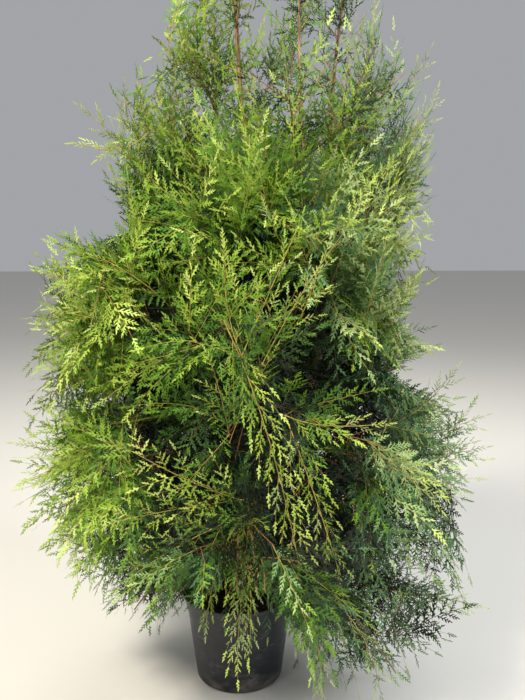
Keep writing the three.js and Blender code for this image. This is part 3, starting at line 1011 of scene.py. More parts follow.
@dataclass
class Sprays:
    """Flat sprays, one row each: where they start, how they lie, their size, bend and tone.

    The last column is how slim they are, from 1 for an open fan down to a narrow plume.
    """

    roots: np.ndarray = field(default_factory=lambda: np.zeros((0, 3)))
    alongs: np.ndarray = field(default_factory=lambda: np.zeros((0, 3)))
    faces: np.ndarray = field(default_factory=lambda: np.zeros((0, 3)))
    lengths: np.ndarray = field(default_factory=lambda: np.zeros(0))
    bends: np.ndarray = field(default_factory=lambda: np.zeros(0))
    tones: np.ndarray = field(default_factory=lambda: np.zeros(0))
    slims: np.ndarray = field(default_factory=lambda: np.zeros(0))

    def rows(self, chosen: np.ndarray) -> Sprays:
        """Returns the chosen rows."""
        return Sprays(*(getattr(self, name)[chosen] for name in self.__dataclass_fields__))

    @staticmethod
    def joined(groups: Sequence[Sprays]) -> Sprays:
        """Returns several groups of sprays as one."""
        names = Sprays.__dataclass_fields__
        return Sprays(*(np.concatenate([getattr(group, name) for group in groups]) for name in names))

    def middles(self) -> np.ndarray:
        """Returns the middle points of the sprays."""
        return self.roots + SPRAY_MIDDLE * self.lengths[:, None] * self.alongs

    def tips(self) -> np.ndarray:
        """Returns the tips of the sprays' ribs."""
        count = len(self.lengths)
        return self.at(np.arange(count), np.ones(count))

    def at(self, rows: np.ndarray, shares: np.ndarray) -> np.ndarray:
        """Returns points on the ribs of chosen rows, at shares of their lengths."""
        out = shares[:, None] * self.lengths[rows][:, None] * self.alongs[rows]
        drop = self.bends[rows] * self.lengths[rows] * shares**2
        return self.roots[rows] + out + drop[:, None] * UP


class Mass:
    """One mass of foliage: the leafy end of a limb, past a share of its length."""

    def __init__(self, limb: Limb, share: float, lift: float, dense: bool, hang: float = 300.0) -> None:
        """Sets out the mass round the end of its limb."""
        self.limb = limb
        self.share = share
        self.lift = lift
        self.dense = dense
        self.spine = limb.points(np.linspace(share, 1, SPINE_POINTS))
        self.lowest = limb.points((1.0,))[0, 2] - hang
        self.neighbours: list[Mass] = []

    def meet(self, masses: Sequence[Mass], reach: float = 900.0) -> None:
        """Notes the masses near enough to share an edge with this one."""
        for other in masses:
            if other is not self and distance_to_path(self.spine, other.spine).min() < reach:
                self.neighbours.append(other)

    def owns(self, points: np.ndarray, crown: Crown, overlap: float) -> np.ndarray:
        """Tests points against the mass's own space.

        Args:
            points: Points, one row each.
            crown: The crown's outline.
            overlap: How far a point may be past the edge with another mass.

        Returns:
            Whether each point is in the space.
        """
        own = distance_to_path(points, self.spine)
        nearest = np.min([distance_to_path(points, other.spine) for other in self.neighbours], axis=0)
        return crown.holds(points) & (own < nearest + overlap)


@dataclass(frozen=True)
class GrowthRule:
    """The rule by which a mass branches, carried on to finer twigs than its solid has.

    Lengths are in millimetres and angles in degrees. A pair is the least and the most, and a
    give is how far a value strays to both sides.
    """

    twig_spacing: float = 44.0
    fewest_twigs: int = 4
    twig_places: Pair = (0.3, 0.7)
    twig_longest: float = 230.0
    twig_shortest: float = 45.0
    twig_taper: float = 0.45
    twig_lengths: Pair = (0.75, 1.0)
    twig_angle: float = 56.0
    twig_angle_give: float = 9.0
    twig_roll_give: float = 30.0
    twig_bend_give: float = 0.1
    twig_radius: float = 1.7
    twig_tip_radius: float = 0.7
    short_twig_radius: float = 0.55
    long_twig_more: float = 0.45
    twig_order_radius: float = 0.72
    side_twigs: int = 3
    side_twig_share: float = 0.5
    golden_angle: float = 137.5
    spray_longest: float = 185.0
    spray_shortest: float = 70.0
    spray_lengths: Pair = (0.8, 1.0)
    spray_slims: Pair = (0.75, 1.05)
    first_spray: float = 0.06
    dense_sprays: int = 84
    open_sprays: int = 60
    inner_sprays: int = 15
    inner_within: float = 0.56
    inner_longer: float = 1.35
    inner_lowest: float = 72.0
    candidates: int = 1500
    tries_at_tip: int = 3
    angle_at_foot: float = 68.0
    angle_at_tip: float = 34.0
    angle_give: float = 14.0
    end_angle_give: float = 12.0
    flat_give: float = 38.0
    roll_give: float = 68.0
    lift_share: float = 0.3
    ways: Table = ((200, -0.75), (600, -0.62), (850, -0.2), (1150, 0.3), (1500, 0.7), (1900, 0.9))
    way_give: float = 0.22
    bend: float = 0.16
    droop: float = 0.08
    bend_give: float = 0.09
    overlap: float = 110.0
    thin_from: float = 1230.0
    thin_over: float = 280.0
    most_thinned: float = 0.3
    twigs_thinned: float = 0.3
    shorter_above: float = 0.3
    hollow_thinned: float = 0.4
    hollow_right: float = 40.0
    hollow_height: float = 750.0
    hollow_half_width: float = 255.0
    hollow_half_height: float = 410.0
    box_give: float = 4.0
    leaf_reach: float = 1.16
    leaf_beyond: float = 22.0
    apart_weight: float = 1.7
    apart_most: float = 400.0
    out_weight: float = 0.22
    length_weight: float = 0.35
    clear_of_stems: float = 7.0


@dataclass(frozen=True)
class ShootRule:
    """How the long shoots leave the crown and are clothed in sprays, in the same measures."""

    run_back: float = 0.6
    root_radius: float = 1.3
    tip_radius: float = 0.8
    front_side: float = 120.0
    front_centre: float = 260.0
    back_centre: float = -100.0
    turned_aside: float = 0.4
    more_sprays: float = 1.2
    first_spray: float = 0.04
    angle_at_foot: float = 46.0
    angle_lost: float = 12.0
    end_angle: float = 4.0
    roll_give: float = 24.0
    face_give: float = 0.22
    length_at_foot: float = 0.72
    length_lost: float = 0.3
    lengths: Pair = (0.8, 1.1)
    spray_shortest: float = 48.0
    spray_longest: float = 130.0
    # The sprays' tone of painted light and shade rises towards the shoot's tip.
    tone_at_foot: float = 0.64
    tone_gained: float = 0.4
    tone_give: float = 0.05
    bend: float = -0.05
    least_open: float = 0.1
    least_length: float = 0.5
    spray_slim: float = 0.3
    spray_slim_more: float = 0.55


@dataclass(frozen=True)
class ToneRule:
    """How the light falls on the sprays. A table gives a value at each height in millimetres."""

    mean: float = 0.46
    give: float = 0.15
    out_weights: Table = ((1150, 1.5), (1450, 0.3))
    mean_outness: float = 0.7
    height_weight: float = 0.26
    mean_height: float = 0.4
    # Painted shade: hollow darkens the front's hollow, and right, right_most and right_damped darken the
    # right side, most at the skirts.
    hollow: float = 0.46
    right_from: float = 100.0
    right_over: float = 140.0
    right: Table = ((260, -0.54), (560, -0.24), (820, -0.08), (1020, 0.06))
    right_most: Table = ((260, 0.4), (560, 1.2))
    right_damped: float = 1.1
    least: Table = ((220, 0.26), (400, 0.16), (500, 0), (1150, 0), (1400, 0.32))
    top_from: float = 1250.0
    top_over: float = 150.0
    top_slope: float = 0.0004


class Growth:
    """Grows the twigs and sprays of every mass."""

    def __init__(
        self, skeleton: Skeleton, crown: Crown, box: tuple[Vector, Vector], rule: GrowthRule, seed: int
    ) -> None:
        """Sets out the masses.

        Args:
            skeleton: The limbs.
            crown: The crown's outline.
            box: The two corners of the solids' box, in metres.
            rule: How each mass branches.
            seed: Fixes every random choice of the growth.
        """
        self.crown = crown
        self.box = tuple(np.array(corner) / MM for corner in box)
        self.rule = rule
        self.random = np.random.default_rng(seed)
        self.stems = skeleton.stems
        boughs = [*skeleton.boughs, *skeleton.slim_boughs]
        self.masses = [Mass(limb, BOUGH_SHARE, tier.lift, tier.dense, tier.hang) for tier, limb in boughs]
        self.masses += [Mass(stem, LEADER_SHARE, LEADER_LIFT, dense=False) for stem in skeleton.stems]
        for mass in self.masses:
            mass.meet(self.masses)
        self.stem_paths = [stem.points(np.linspace(0, LEADER_SHARE, STEM_POINTS)) for stem in self.stems]
        self.middles = np.zeros((0, 3))

    def give(self, size: float, count: int) -> np.ndarray:
        """Returns random numbers between minus and plus size."""
        return self.random.uniform(-size, size, count)

    def high_up(self, points: np.ndarray) -> np.ndarray:
        """Returns how far points are into the open top of the crown, from 0 to 1."""
        return np.clip((points[:, 2] - self.rule.thin_from) / self.rule.thin_over, 0, 1)

    def room(self, mass: Mass, points: np.ndarray, directions: np.ndarray, longest: float) -> np.ndarray:
        """Measures the free space of a mass.

        Args:
            mass: The mass.
            points: Where to start, one row each.
            directions: Unit vectors to measure along.
            longest: The most that is measured.

        Returns:
            How far the space goes from each point.
        """
        lengths = np.zeros(len(points))
        active = np.ones(len(points), bool)
        while active.any():
            tips = points[active] + directions[active] * (lengths[active] + ROOM_STEP)[:, None]
            free = mass.owns(tips, self.crown, self.rule.overlap)
            rows = np.flatnonzero(active)
            lengths[rows[free]] += ROOM_STEP
            active[rows[~free]] = False
            active &= lengths < longest
        return np.minimum(lengths, longest)

    def clear_of_stems(self, points: np.ndarray) -> np.ndarray:
        """Returns whether points keep off the trunk and leaders."""
        clear = np.ones(len(points), bool)
        for stem, path in zip(self.stems, self.stem_paths):
            near = distance_to_path(points, path)
            heights = np.clip((points[:, 2] - path[0, 2]) / (path[-1, 2] - path[0, 2]), 0, 1)
            radius = stem.root_radius + (stem.tip_radius - stem.root_radius) * heights
            clear &= near > radius + self.rule.clear_of_stems
        return clear

    def twigs_on(self, mass: Mass, parent: Axis, count: int, longest: float) -> list[Axis]:
        """Grows the twigs that leave one stem or twig, round it by the golden angle.

        Args:
            mass: The mass whose space they keep to.
            parent: The stem or twig.
            count: How many places they may leave from.
            longest: The most that one may measure.

        Returns:
            Those with room to grow.
        """
        rule = self.rule
        shares = (np.arange(count) + self.random.uniform(*rule.twig_places, count)) / count
        roots, runs = along_paths(np.broadcast_to(parent.path, (count, *parent.path.shape)), shares)
        turn = rule.golden_angle if parent.order == 0 else 180.0
        rolls = np.radians(np.arange(count) * turn + self.give(rule.twig_roll_give, count))
        angles = np.radians(rule.twig_angle + self.give(rule.twig_angle_give, count))
        axes = unit(runs)
        sides = unit(parent.side - (axes @ parent.side)[:, None] * axes)
        alongs = unit(leaning(axes, sides, angles, rolls) + mass.lift * rule.lift_share * UP)
        tapers = 1 - rule.twig_taper * shares
        lengths = self.room(mass, roots, alongs, longest) * tapers
        lengths *= self.random.uniform(*rule.twig_lengths, count)
        lengths *= self.random.uniform(0, 1, count) > rule.twigs_thinned * self.high_up(roots)
        steps = np.linspace(0, 1, PATH_POINTS)[:, None]
        grown = []
        for root, along, axis, length in zip(roots, alongs, axes, lengths):
            if length < rule.twig_shortest:
                continue
            bend = rule.bend * mass.lift * length + self.random.normal(0, rule.twig_bend_give) * length
            sway = self.random.normal(0, rule.twig_bend_give) * length * np.cross(along, UP)
            path = root + steps * length * along + steps**2 * (bend * UP + sway)
            if not self.clear_of_stems(path[2:]).all():
                continue
            size = rule.short_twig_radius + rule.long_twig_more * length / rule.twig_longest
            size = rule.twig_radius * size * rule.twig_order_radius**parent.order
            radii = np.linspace(size, rule.twig_tip_radius, PATH_POINTS)
            side = unit(np.cross(along, np.cross(axis, along)))
            grown.append(Axis(path, radii, side, parent.order + 1))
        return grown

    def axes_of(self, mass: Mass) -> list[Axis]:
        """Returns the stem of a mass and its twigs of two orders."""
        rule = self.rule
        shares = np.linspace(mass.share, 1, PATH_POINTS)
        stem = Axis(mass.limb.points(shares), mass.limb.radii(shares), mass.limb.side, 0)
        count = max(rule.fewest_twigs, round(stem.length() / rule.twig_spacing))
        twigs = self.twigs_on(mass, stem, count, rule.twig_longest)
        finer = [
            side
            for twig in twigs
            for side in self.twigs_on(mass, twig, rule.side_twigs, rule.side_twig_share * rule.twig_longest)
        ]
        return [stem, *twigs, *finer]

    def candidates(self, mass: Mass, axes: Sequence[Axis]) -> Sprays:
        """Tries many places for sprays, and keeps those with room for one."""
        rule = self.rule
        count = rule.candidates
        weights = np.array([axis.length() for axis in axes])
        picked = self.random.choice(len(axes), count, p=weights / weights.sum())
        shares = self.random.uniform(rule.first_spray, 1, count)
        order = np.arange(count)
        at_tip = order < rule.tries_at_tip * len(axes)
        picked[at_tip] = order[at_tip] % len(axes)
        shares[at_tip] = 1.0
        roots, runs = along_paths(np.stack([axis.path for axis in axes])[picked], shares)
        ends = unit(runs)
        sides = squared(np.stack([axis.side for axis in axes])[picked], ends)
        on_stem = np.array([axis.order for axis in axes])[picked] == 0
        angles = rule.angle_at_foot + (rule.angle_at_tip - rule.angle_at_foot) * shares
        angles = np.where(at_tip, np.abs(self.random.normal(0, rule.end_angle_give, count)), angles)
        angles += self.give(rule.angle_give, count) * ~at_tip
        flat = 180 * self.random.integers(0, 2, count) + self.give(rule.flat_give, count)
        rolls = np.where(on_stem, self.random.uniform(0, 360, count), flat)
        alongs = leaning(ends, sides, np.radians(angles), np.radians(rolls))
        ways = by_height(roots, rule.ways) + self.random.normal(0, rule.way_give, count)
        alongs = unit(alongs + ways[:, None] * UP)
        outward = unit(roots * (1, 1, 0) + TINY)
        across = unit(np.cross(alongs, outward))
        rolled = np.radians(self.give(rule.roll_give, count))
        faces = leaning(alongs, np.cross(across, alongs), np.full(count, math.pi / 2), rolled)
        lengths = self.room(mass, roots, alongs, rule.spray_longest)
        lengths *= self.random.uniform(*rule.spray_lengths, count)
        lengths *= 1 - rule.shorter_above * self.high_up(roots)
        bends = rule.bend * mass.lift - rule.droop + self.random.normal(0, rule.bend_give, count)
        slims = self.random.uniform(*rule.spray_slims, count)
        found = Sprays(roots, alongs, faces, lengths, bends, np.zeros(count), slims)
        tips, middles = found.tips(), found.middles()
        fits = (lengths > rule.spray_shortest) & (tips[:, 2] > max(mass.lowest, CLEAR_GROUND))
        fits &= self.crown.holds(tips) & self.crown.holds(middles)
        fits &= self.in_box(roots + (rule.leaf_reach * lengths + rule.leaf_beyond)[:, None] * alongs)
        fits &= self.clear_of_stems(middles) & self.clear_of_stems(tips)
        return found.rows(np.flatnonzero(fits))

    def in_box(self, points: np.ndarray) -> np.ndarray:
        """Returns whether points stay in the box that the solids fill, but for a little give."""
        low, high = self.box
        return ((points > low - self.rule.box_give) & (points < high + self.rule.box_give)).all(axis=1)

    def thinned(self, sprays: Sprays) -> Sprays:
        """Leaves gaps in the front's hollow, and at the top, where the sky shows through."""
        middles = sprays.middles()
        share = self.rule.most_thinned * self.high_up(middles)
        share += self.rule.hollow_thinned * self.in_hollow(middles)
        kept = self.random.uniform(0, 1, len(share)) > share
        return sprays.rows(np.flatnonzero(kept))

    def in_hollow(self, points: np.ndarray) -> np.ndarray:
        """Returns how far points lie in the dark hollow of the crown's front, from 0 to 1."""
        rule = self.rule
        aside = (points[:, 0] - rule.hollow_right) / rule.hollow_half_width
        above = (points[:, 2] - rule.hollow_height) / rule.hollow_half_height
        return np.exp(-(np.hypot(aside, above) ** 2)) * (points[:, 1] < 0)

    def inner(self, found: Sprays) -> Sprays:
        """Returns longer sprays for the shaded inside of the crown, which close it to the light."""
        rule = self.rule
        within = found.rows(np.flatnonzero(self.crown.outness(found.middles()) < rule.inner_within))
        chosen = self.choose(within, rule.inner_sprays, 0.0)
        chosen.lengths = chosen.lengths * rule.inner_longer
        tips = chosen.tips()
        return chosen.rows(np.flatnonzero(self.crown.holds(tips) & (tips[:, 2] > rule.inner_lowest)))

    def shoot(self, shoot: Shoot, paths: np.ndarray) -> tuple[Axis, Sprays]:
        """Grows one of the long shoots from the nearest stem or twig.

        Args:
            shoot: The shoot.
            paths: Every point that it may start from, one row each.

        Returns:
            Its twig, and the sprays along both its sides.
        """
        rule = ShootRule()
        bend, tip = np.array(shoot.bend, float), np.array(shoot.tip, float)
        behind = bend - rule.run_back * (tip - bend)
        start = paths[np.linalg.norm(paths - behind, axis=1).argmin()]
        steps = np.linspace(0, 1, PATH_POINTS)[:, None]
        path = (1 - steps) ** 2 * start + 2 * (1 - steps) * steps * bend + steps**2 * tip
        centre = rule.front_centre if bend[1] < rule.front_side else rule.back_centre
        outward = unit(np.array((rule.turned_aside * bend[0], bend[1] - centre, 0.0)))
        radii = np.linspace(rule.root_radius, rule.tip_radius, PATH_POINTS)
        axis = Axis(path, radii, unit(np.cross(tip - bend, outward)), RIB_ORDER)
        count = round(rule.more_sprays * shoot.sprays)
        order = np.arange(count)
        shares = rule.first_spray + (1 - rule.first_spray) * (order + 1) / count
        roots, runs = along_paths(np.broadcast_to(path, (count, *path.shape)), shares)
        axes = unit(runs)
        opened = rule.least_open + (1 - rule.least_open) * shoot.slim
        spread = (rule.angle_at_foot - rule.angle_lost * shares) * opened
        angles = np.radians(np.where(order == count - 1, rule.end_angle, spread))
        rolls = np.radians(180 * (order % 2) + self.give(rule.roll_give, count))
        alongs = leaning(axes, unit(np.cross(axes, outward)), angles, rolls)
        faces = unit(outward + self.random.normal(0, rule.face_give, (count, 3)))
        lengths = np.linalg.norm(tip - bend) * (rule.length_at_foot - rule.length_lost * shares)
        lengths *= self.random.uniform(*rule.lengths, count)
        lengths = np.clip(lengths, rule.spray_shortest, rule.spray_longest)
        lengths *= rule.least_length + (1 - rule.least_length) * shoot.slim
        tones = shoot.tone * (rule.tone_at_foot + rule.tone_gained * np.sqrt(shares))
        tones += self.random.normal(0, rule.tone_give, count)
        slims = np.full(count, rule.spray_slim + rule.spray_slim_more * shoot.slim)
        return axis, Sprays(roots, alongs, faces, lengths, np.full(count, rule.bend), tones, slims)

    def choose(self, found: Sprays, count: int, out_weight: float) -> Sprays:
        """Takes the best places one by one: apart from all others, far out and roomy.

        Args:
            found: The places to choose from.
            count: How many to take.
            out_weight: How much it counts that a place is far out.

        Returns:
            The chosen sprays.
        """
        rule = self.rule
        middles = found.middles()
        worth = out_weight * np.linalg.norm(middles[:, :2], axis=1) + rule.length_weight * found.lengths
        apart = np.full(len(middles), rule.apart_most)
        for start in range(0, len(self.middles), AT_ONCE):
            others = self.middles[start : start + AT_ONCE]
            gaps = np.linalg.norm(middles[:, None] - others[None], axis=2).min(axis=1)
            apart = np.minimum(apart, gaps)
        chosen = []
        for _ in range(min(count, len(middles))):
            best = int(np.argmax(worth + rule.apart_weight * apart))
            chosen.append(best)
            apart = np.minimum(apart, np.linalg.norm(middles - middles[best], axis=1))
            worth[best] = -np.inf
        self.middles = np.concatenate((self.middles, middles[chosen]))
        return found.rows(np.array(chosen, int))

    def tone(self, sprays: Sprays) -> None:
        """Gives each spray its tone of painted light and shade, from 0 for the dark inside to 1 for new
        growth in the sun.
        """
        rule = ToneRule()
        middles = sprays.middles()
        # Painted light: lighter far out from the crown's middle and high up.
        out = self.crown.outness(middles) - rule.mean_outness
        height = middles[:, 2] / self.crown.heights[-1] - rule.mean_height
        tones = rule.mean + by_height(middles, rule.out_weights) * out + rule.height_weight * height
        # Painted shade: darker in the front's hollow, and on the right side, most at the skirts.
        tones -= rule.hollow * self.in_hollow(middles)
        right = np.clip((middles[:, 0] - rule.right_from) / rule.right_over, 0, 1)
        tones += right * by_height(middles, rule.right)
        tones = np.maximum(tones, by_height(middles, rule.least))
        # Painted light at the top: lighter to the left, darker to the right.
        top = np.clip((middles[:, 2] - rule.top_from) / rule.top_over, 0, 1)
        tones -= rule.top_slope * middles[:, 0] * top
        # Painted shade: the right side is held below a lightness that rises with height.
        tones -= rule.right_damped * right * np.clip(tones - by_height(middles, rule.right_most), 0, None)
        sprays.tones = tones + self.random.normal(0, rule.give, len(tones))

    def grow(self) -> tuple[list[Axis], Sprays]:
        """Grows every mass.

        Returns:
            The axes of all masses, and all their sprays.
        """
        axes: list[Axis] = []
        groups: list[Sprays] = []
        for mass in self.masses:
            own = self.axes_of(mass)
            count = self.rule.dense_sprays if mass.dense else self.rule.open_sprays
            axes += own
            found = self.candidates(mass, own)
            groups.append(self.thinned(self.choose(found, count, self.rule.out_weight)))
            if mass.dense:
                groups.append(self.inner(found))
        sprays = Sprays.joined(groups)
        self.tone(sprays)
        paths = np.concatenate([axis.path for axis in axes])
        grown = [self.shoot(shoot, paths) for shoot in SHOOTS]
        axes += [axis for axis, _ in grown]
        sprays = Sprays.joined([sprays, *(own for _, own in grown)])
        LOG.info("grown: %d axes and %d sprays", len(axes), len(sprays.lengths))
        return axes, sprays


# Geometry Nodes


class NodeGrowth:
    """A Geometry Nodes tree with named inputs, which turns a host into a plain mesh."""

    def __init__(self, name: str, inputs: dict[str, str]) -> None:
        """Starts the tree.

        Args:
            name: The tree's name.
            inputs: The socket type of each named input.
        """
        self.tree = bpy.data.node_groups.new(name, "GeometryNodeTree")
        self.tree.interface.new_socket("Geometry", in_out="OUTPUT", socket_type="NodeSocketGeometry")
        self.tree.interface.new_socket("Geometry", in_out="INPUT", socket_type="NodeSocketGeometry")
        for label, kind in inputs.items():
            self.tree.interface.new_socket(label, in_out="INPUT", socket_type=kind)
        self.given = add_node(self.tree, "NodeGroupInput").outputs

    def end(self, geometry: NodeSocket) -> None:
        """Ends the tree with real geometry in the material that is given."""
        real = add_node(self.tree, "GeometryNodeRealizeInstances", Geometry=geometry)
        dressed = add_node(
            self.tree,
            "GeometryNodeSetMaterial",
            Geometry=real.outputs["Geometry"],
            Material=self.given["Material"],
        )
        add_node(self.tree, "NodeGroupOutput", Geometry=dressed.outputs["Geometry"])

    def attribute(self, name: str, kind: str) -> NodeSocket:
        """Returns the socket of a named attribute of the host."""
        node = add_node(self.tree, "GeometryNodeInputNamedAttribute", {"data_type": kind}, Name=name)
        return node.outputs["Attribute"]

    def grow(self, host: Object, name: str, **values) -> Object:
        """Runs the tree on a host, which is used up.

        Args:
            host: The object whose mesh the tree starts from.
            name: The new piece's name.
            **values: The inputs, with an underscore for a space.

        Returns:
            The new piece, a plain mesh at the origin.
        """
        modifier = host.modifiers.new(name, "NODES")
        modifier.node_group = self.tree
        given = {key.replace("_", " "): value for key, value in values.items()}
        for item in self.tree.interface.items_tree:
            if item.in_out == "INPUT" and item.name in given:
                modifier[item.identifier] = given[item.name]
        graph = bpy.context.evaluated_depsgraph_get()
        mesh = bpy.data.meshes.new_from_object(host.evaluated_get(graph), depsgraph=graph)
        host.modifiers.remove(modifier)
        bpy.data.objects.remove(host)
        for label in HOST_ATTRIBUTES:
            if label in mesh.attributes:
                mesh.attributes.remove(mesh.attributes[label])
        mesh.name = name
        piece = bpy.data.objects.new(name, mesh)
        bpy.context.scene.collection.objects.link(piece)
        return piece


class BranchletScatter(NodeGrowth):
    """Sets a branchlet on every point of a host, turned, sized and picked by its attributes."""

    def __init__(self) -> None:
        """Builds the tree."""
        inputs = {
            "Branchlets": "NodeSocketCollection",
            "Size Give": "NodeSocketFloat",
            "Seed": "NodeSocketInt",
            "Material": "NodeSocketMaterial",
        }
        super().__init__("branchlet_scatter", inputs)
        tree, given = self.tree, self.given
        forms = add_node(
            tree,
            "GeometryNodeCollectionInfo",
            Collection=given["Branchlets"],
            Separate_Children=True,
            Reset_Children=True,
        )
        least, most = (
            add_node(tree, "ShaderNodeMath", {"operation": way}, in_0=1.0, in_1=given["Size Give"]).outputs[0]
            for way in ("SUBTRACT", "ADD")
        )
        give = add_node(
            tree,
            "FunctionNodeRandomValue",
            {"data_type": "FLOAT"},
            in_2=least,
            in_3=most,
            Seed=given["Seed"],
        )
        size = add_node(
            tree,
            "ShaderNodeMath",
            {"operation": "MULTIPLY"},
            in_0=self.attribute("size", "FLOAT"),
            in_1=give.outputs[1],
        )
        placed = add_node(
            tree,
            "GeometryNodeInstanceOnPoints",
            Points=given["Geometry"],
            Instance=forms.outputs["Instances"],
            Pick_Instance=True,
            Instance_Index=self.attribute("form", "INT"),
            Rotation=self.attribute("turn", "QUATERNION"),
            Scale=size.outputs[0],
        )
        self.end(placed.outputs["Instances"])


class TwigTubes(NodeGrowth):
    """Makes a tapering tube round every path of a host, as thick as its attribute says."""

    def __init__(self) -> None:
        """Builds the tree."""
        super().__init__("twig_tubes", {"Sides": "NodeSocketInt", "Material": "NodeSocketMaterial"})
        tree = self.tree
        paths = add_node(tree, "GeometryNodeMeshToCurve", Mesh=self.given["Geometry"])
        thick = add_node(
            tree,
            "GeometryNodeSetCurveRadius",
            Curve=paths.outputs["Curve"],
            Radius=self.attribute("thickness", "FLOAT"),
        )
        ring = add_node(tree, "GeometryNodeCurvePrimitiveCircle", Resolution=self.given["Sides"], Radius=1.0)
        tubes = add_node(
            tree,
            "GeometryNodeCurveToMesh",
            Curve=thick.outputs["Curve"],
            Profile_Curve=ring.outputs["Curve"],
            Fill_Caps=True,
        )
        if "Scale" in tubes.inputs:
            tree.links.new(self.attribute("thickness", "FLOAT"), tubes.inputs["Scale"])
        self.end(tubes.outputs["Mesh"])


class CrumbScatter(NodeGrowth):
    """Strews crumbs over the faces of a host, turned and sized at random."""

    def __init__(self) -> None:
        """Builds the tree."""
        inputs = {
            "Crumb": "NodeSocketObject",
            "Density": "NodeSocketFloat",
            "Smallest": "NodeSocketFloat",
            "Largest": "NodeSocketFloat",
            "Seed": "NodeSocketInt",
            "Material": "NodeSocketMaterial",
        }
        super().__init__("crumb_scatter", inputs)
        tree, given = self.tree, self.given
        strewn = add_node(
            tree,
            "GeometryNodeDistributePointsOnFaces",
            Mesh=given["Geometry"],
            Density=given["Density"],
            Seed=given["Seed"],
        )
        rotations = add_node(
            tree,
            "FunctionNodeRandomValue",
            {"data_type": "FLOAT_VECTOR"},
            in_1=(math.tau, math.tau, math.tau),
            Seed=given["Seed"],
        )
        sizes = add_node(
            tree,
            "FunctionNodeRandomValue",
            {"data_type": "FLOAT"},
            in_2=given["Smallest"],
            in_3=given["Largest"],
            Seed=given["Seed"],
        )
        crumb = add_node(tree, "GeometryNodeObjectInfo", Object=given["Crumb"])
        placed = add_node(
            tree,
            "GeometryNodeInstanceOnPoints",
            Points=strewn.outputs["Points"],
            Instance=crumb.outputs["Geometry"],
            Rotation=rotations.outputs[0],
            Scale=sizes.outputs[1],
        )
        self.end(placed.outputs["Instances"])


# Sub-assemblies


@dataclass
class NurseryPot:
    """The container, with its rolled lip, collar, heel and drain holes.

    Sizes are in millimetres. A step is how far the wall bends sideways and upright, and the fine
    dents are given by their share of the dents' size and by how many times closer they lie.
    """

    sizes: PotSizes = POT
    segments: int = 112
    lip_rounding: float = 2.0
    lip_edge: float = 1.0
    collar_step: Pair = (0.6, 3.0)
    shoulder_step: Pair = (1.2, 2.0)
    dent_mm: float = 1.4
    dent_turns: float = 1.3
    dent_height: float = 110.0
    fine_dents: Pair = (0.5, 2.3)
    drain_sides: int = 16
    sharp_from: float = 38.0
    finish: MouldedPolypropylene = MouldedPolypropylene("moulded_black_polypropylene", roughness=0.5)

    def profile(self) -> list[Pair]:
        """Returns the wall's outline as radius and height, up the outside and down the inside."""
        s = self.sizes
        rim, top, under = s.rim_radius, s.height, s.height - s.lip_height
        rounding, edge = self.lip_rounding, self.lip_edge
        outside = [(0, 0), (s.base_radius - s.heel, 0)]
        outside += self.arc((s.base_radius - s.heel, s.heel), s.heel, (-90, -6), 5)
        shares = np.linspace(0.1, 1, 12)
        radii = s.base_radius + (s.shoulder_radius - s.base_radius) * shares
        outside += list(zip(radii, s.heel + (s.shoulder_height - s.heel) * shares))
        outside.append((s.shoulder_radius + self.shoulder_step[0], s.shoulder_height + self.shoulder_step[1]))
        outside.append((rim - s.lip - self.collar_step[0], under - self.collar_step[1]))
        outside += [(rim - s.lip, under), (rim - edge, under), (rim, under + edge)]
        outside += self.arc((rim - rounding, top - rounding), rounding, (0, 90), 4)
        inside = self.arc((rim - s.lip - s.wall + rounding, top - rounding), rounding, (90, 180), 4)
        inside += [
            (s.shoulder_radius - s.wall, s.shoulder_height),
            (s.base_radius - s.wall, s.floor + s.heel),
            (s.base_radius - s.wall - s.heel, s.floor),
            (0, s.floor),
        ]
        return outside + inside

    @staticmethod
    def arc(centre: Pair, radius: float, ends: Pair, count: int) -> list[Pair]:
        """Returns points on an arc round a centre, between two angles in degrees."""
        angles = np.radians(np.linspace(*ends, count))
        return [(centre[0] + radius * math.cos(a), centre[1] + radius * math.sin(a)) for a in angles]

    def dent(self, angle: float, height: float) -> float:
        """Returns how far the soft wall stands out of round, in millimetres."""
        across, along = self.dent_turns * math.cos(angle), self.dent_turns * math.sin(angle)
        place = Vector((across, along, height / self.dent_height))
        size, finer = self.fine_dents
        dents = noise.noise(place) + size * noise.noise(place * finer)
        return self.dent_mm * (height / self.sizes.height) * dents

    def build(self) -> None:
        """Builds the container."""
        (_, foot), *rings, (_, floor) = self.profile()
        points = [(0.0, 0.0, foot * MM)]
        for radius, height in rings:
            for angle in turns(self.segments):
                out = (radius + self.dent(angle, height)) * MM
                points.append((out * math.cos(angle), out * math.sin(angle), height * MM))
        points.append((0.0, 0.0, floor * MM))
        pot = new_mesh_object("nursery_pot", np.array(points), turned_faces(len(rings), self.segments))
        self.drill(pot)
        pot.data.set_sharp_from_angle(angle=math.radians(self.sharp_from))
        pot.data.materials.clear()
        pot.data.materials.append(self.finish.material())
        finish_piece(pot, ["pot"])

    def drill(self, pot: Object) -> None:
        """Cuts the drain holes through the floor."""
        s = self.sizes
        radius = s.drain_radius * MM
        points: list[Point] = []
        faces: Faces = []
        for hole in range(s.drain_count):
            x, y, _ = heading(360 * (hole + 0.5) / s.drain_count, 0) * s.drain_from_axis * MM
            faces += tube_faces(2, self.drain_sides, len(points))
            for height in (-s.floor * MM, 2 * s.floor * MM):
                for angle in turns(self.drain_sides):
                    points.append((x + radius * math.cos(angle), y + radius * math.sin(angle), height))
        cutter = new_mesh_object("drain_cutter", np.array(points), faces)
        modifier = pot.modifiers.new("drain", "BOOLEAN")
        modifier.object = cutter
        modifier.operation = "DIFFERENCE"
        modifier.solver = "EXACT"
        graph = bpy.context.evaluated_depsgraph_get()
        drilled = bpy.data.meshes.new_from_object(pot.evaluated_get(graph), depsgraph=graph)
        pot.modifiers.remove(modifier)
        pot.data = drilled
        bpy.data.objects.remove(cutter)


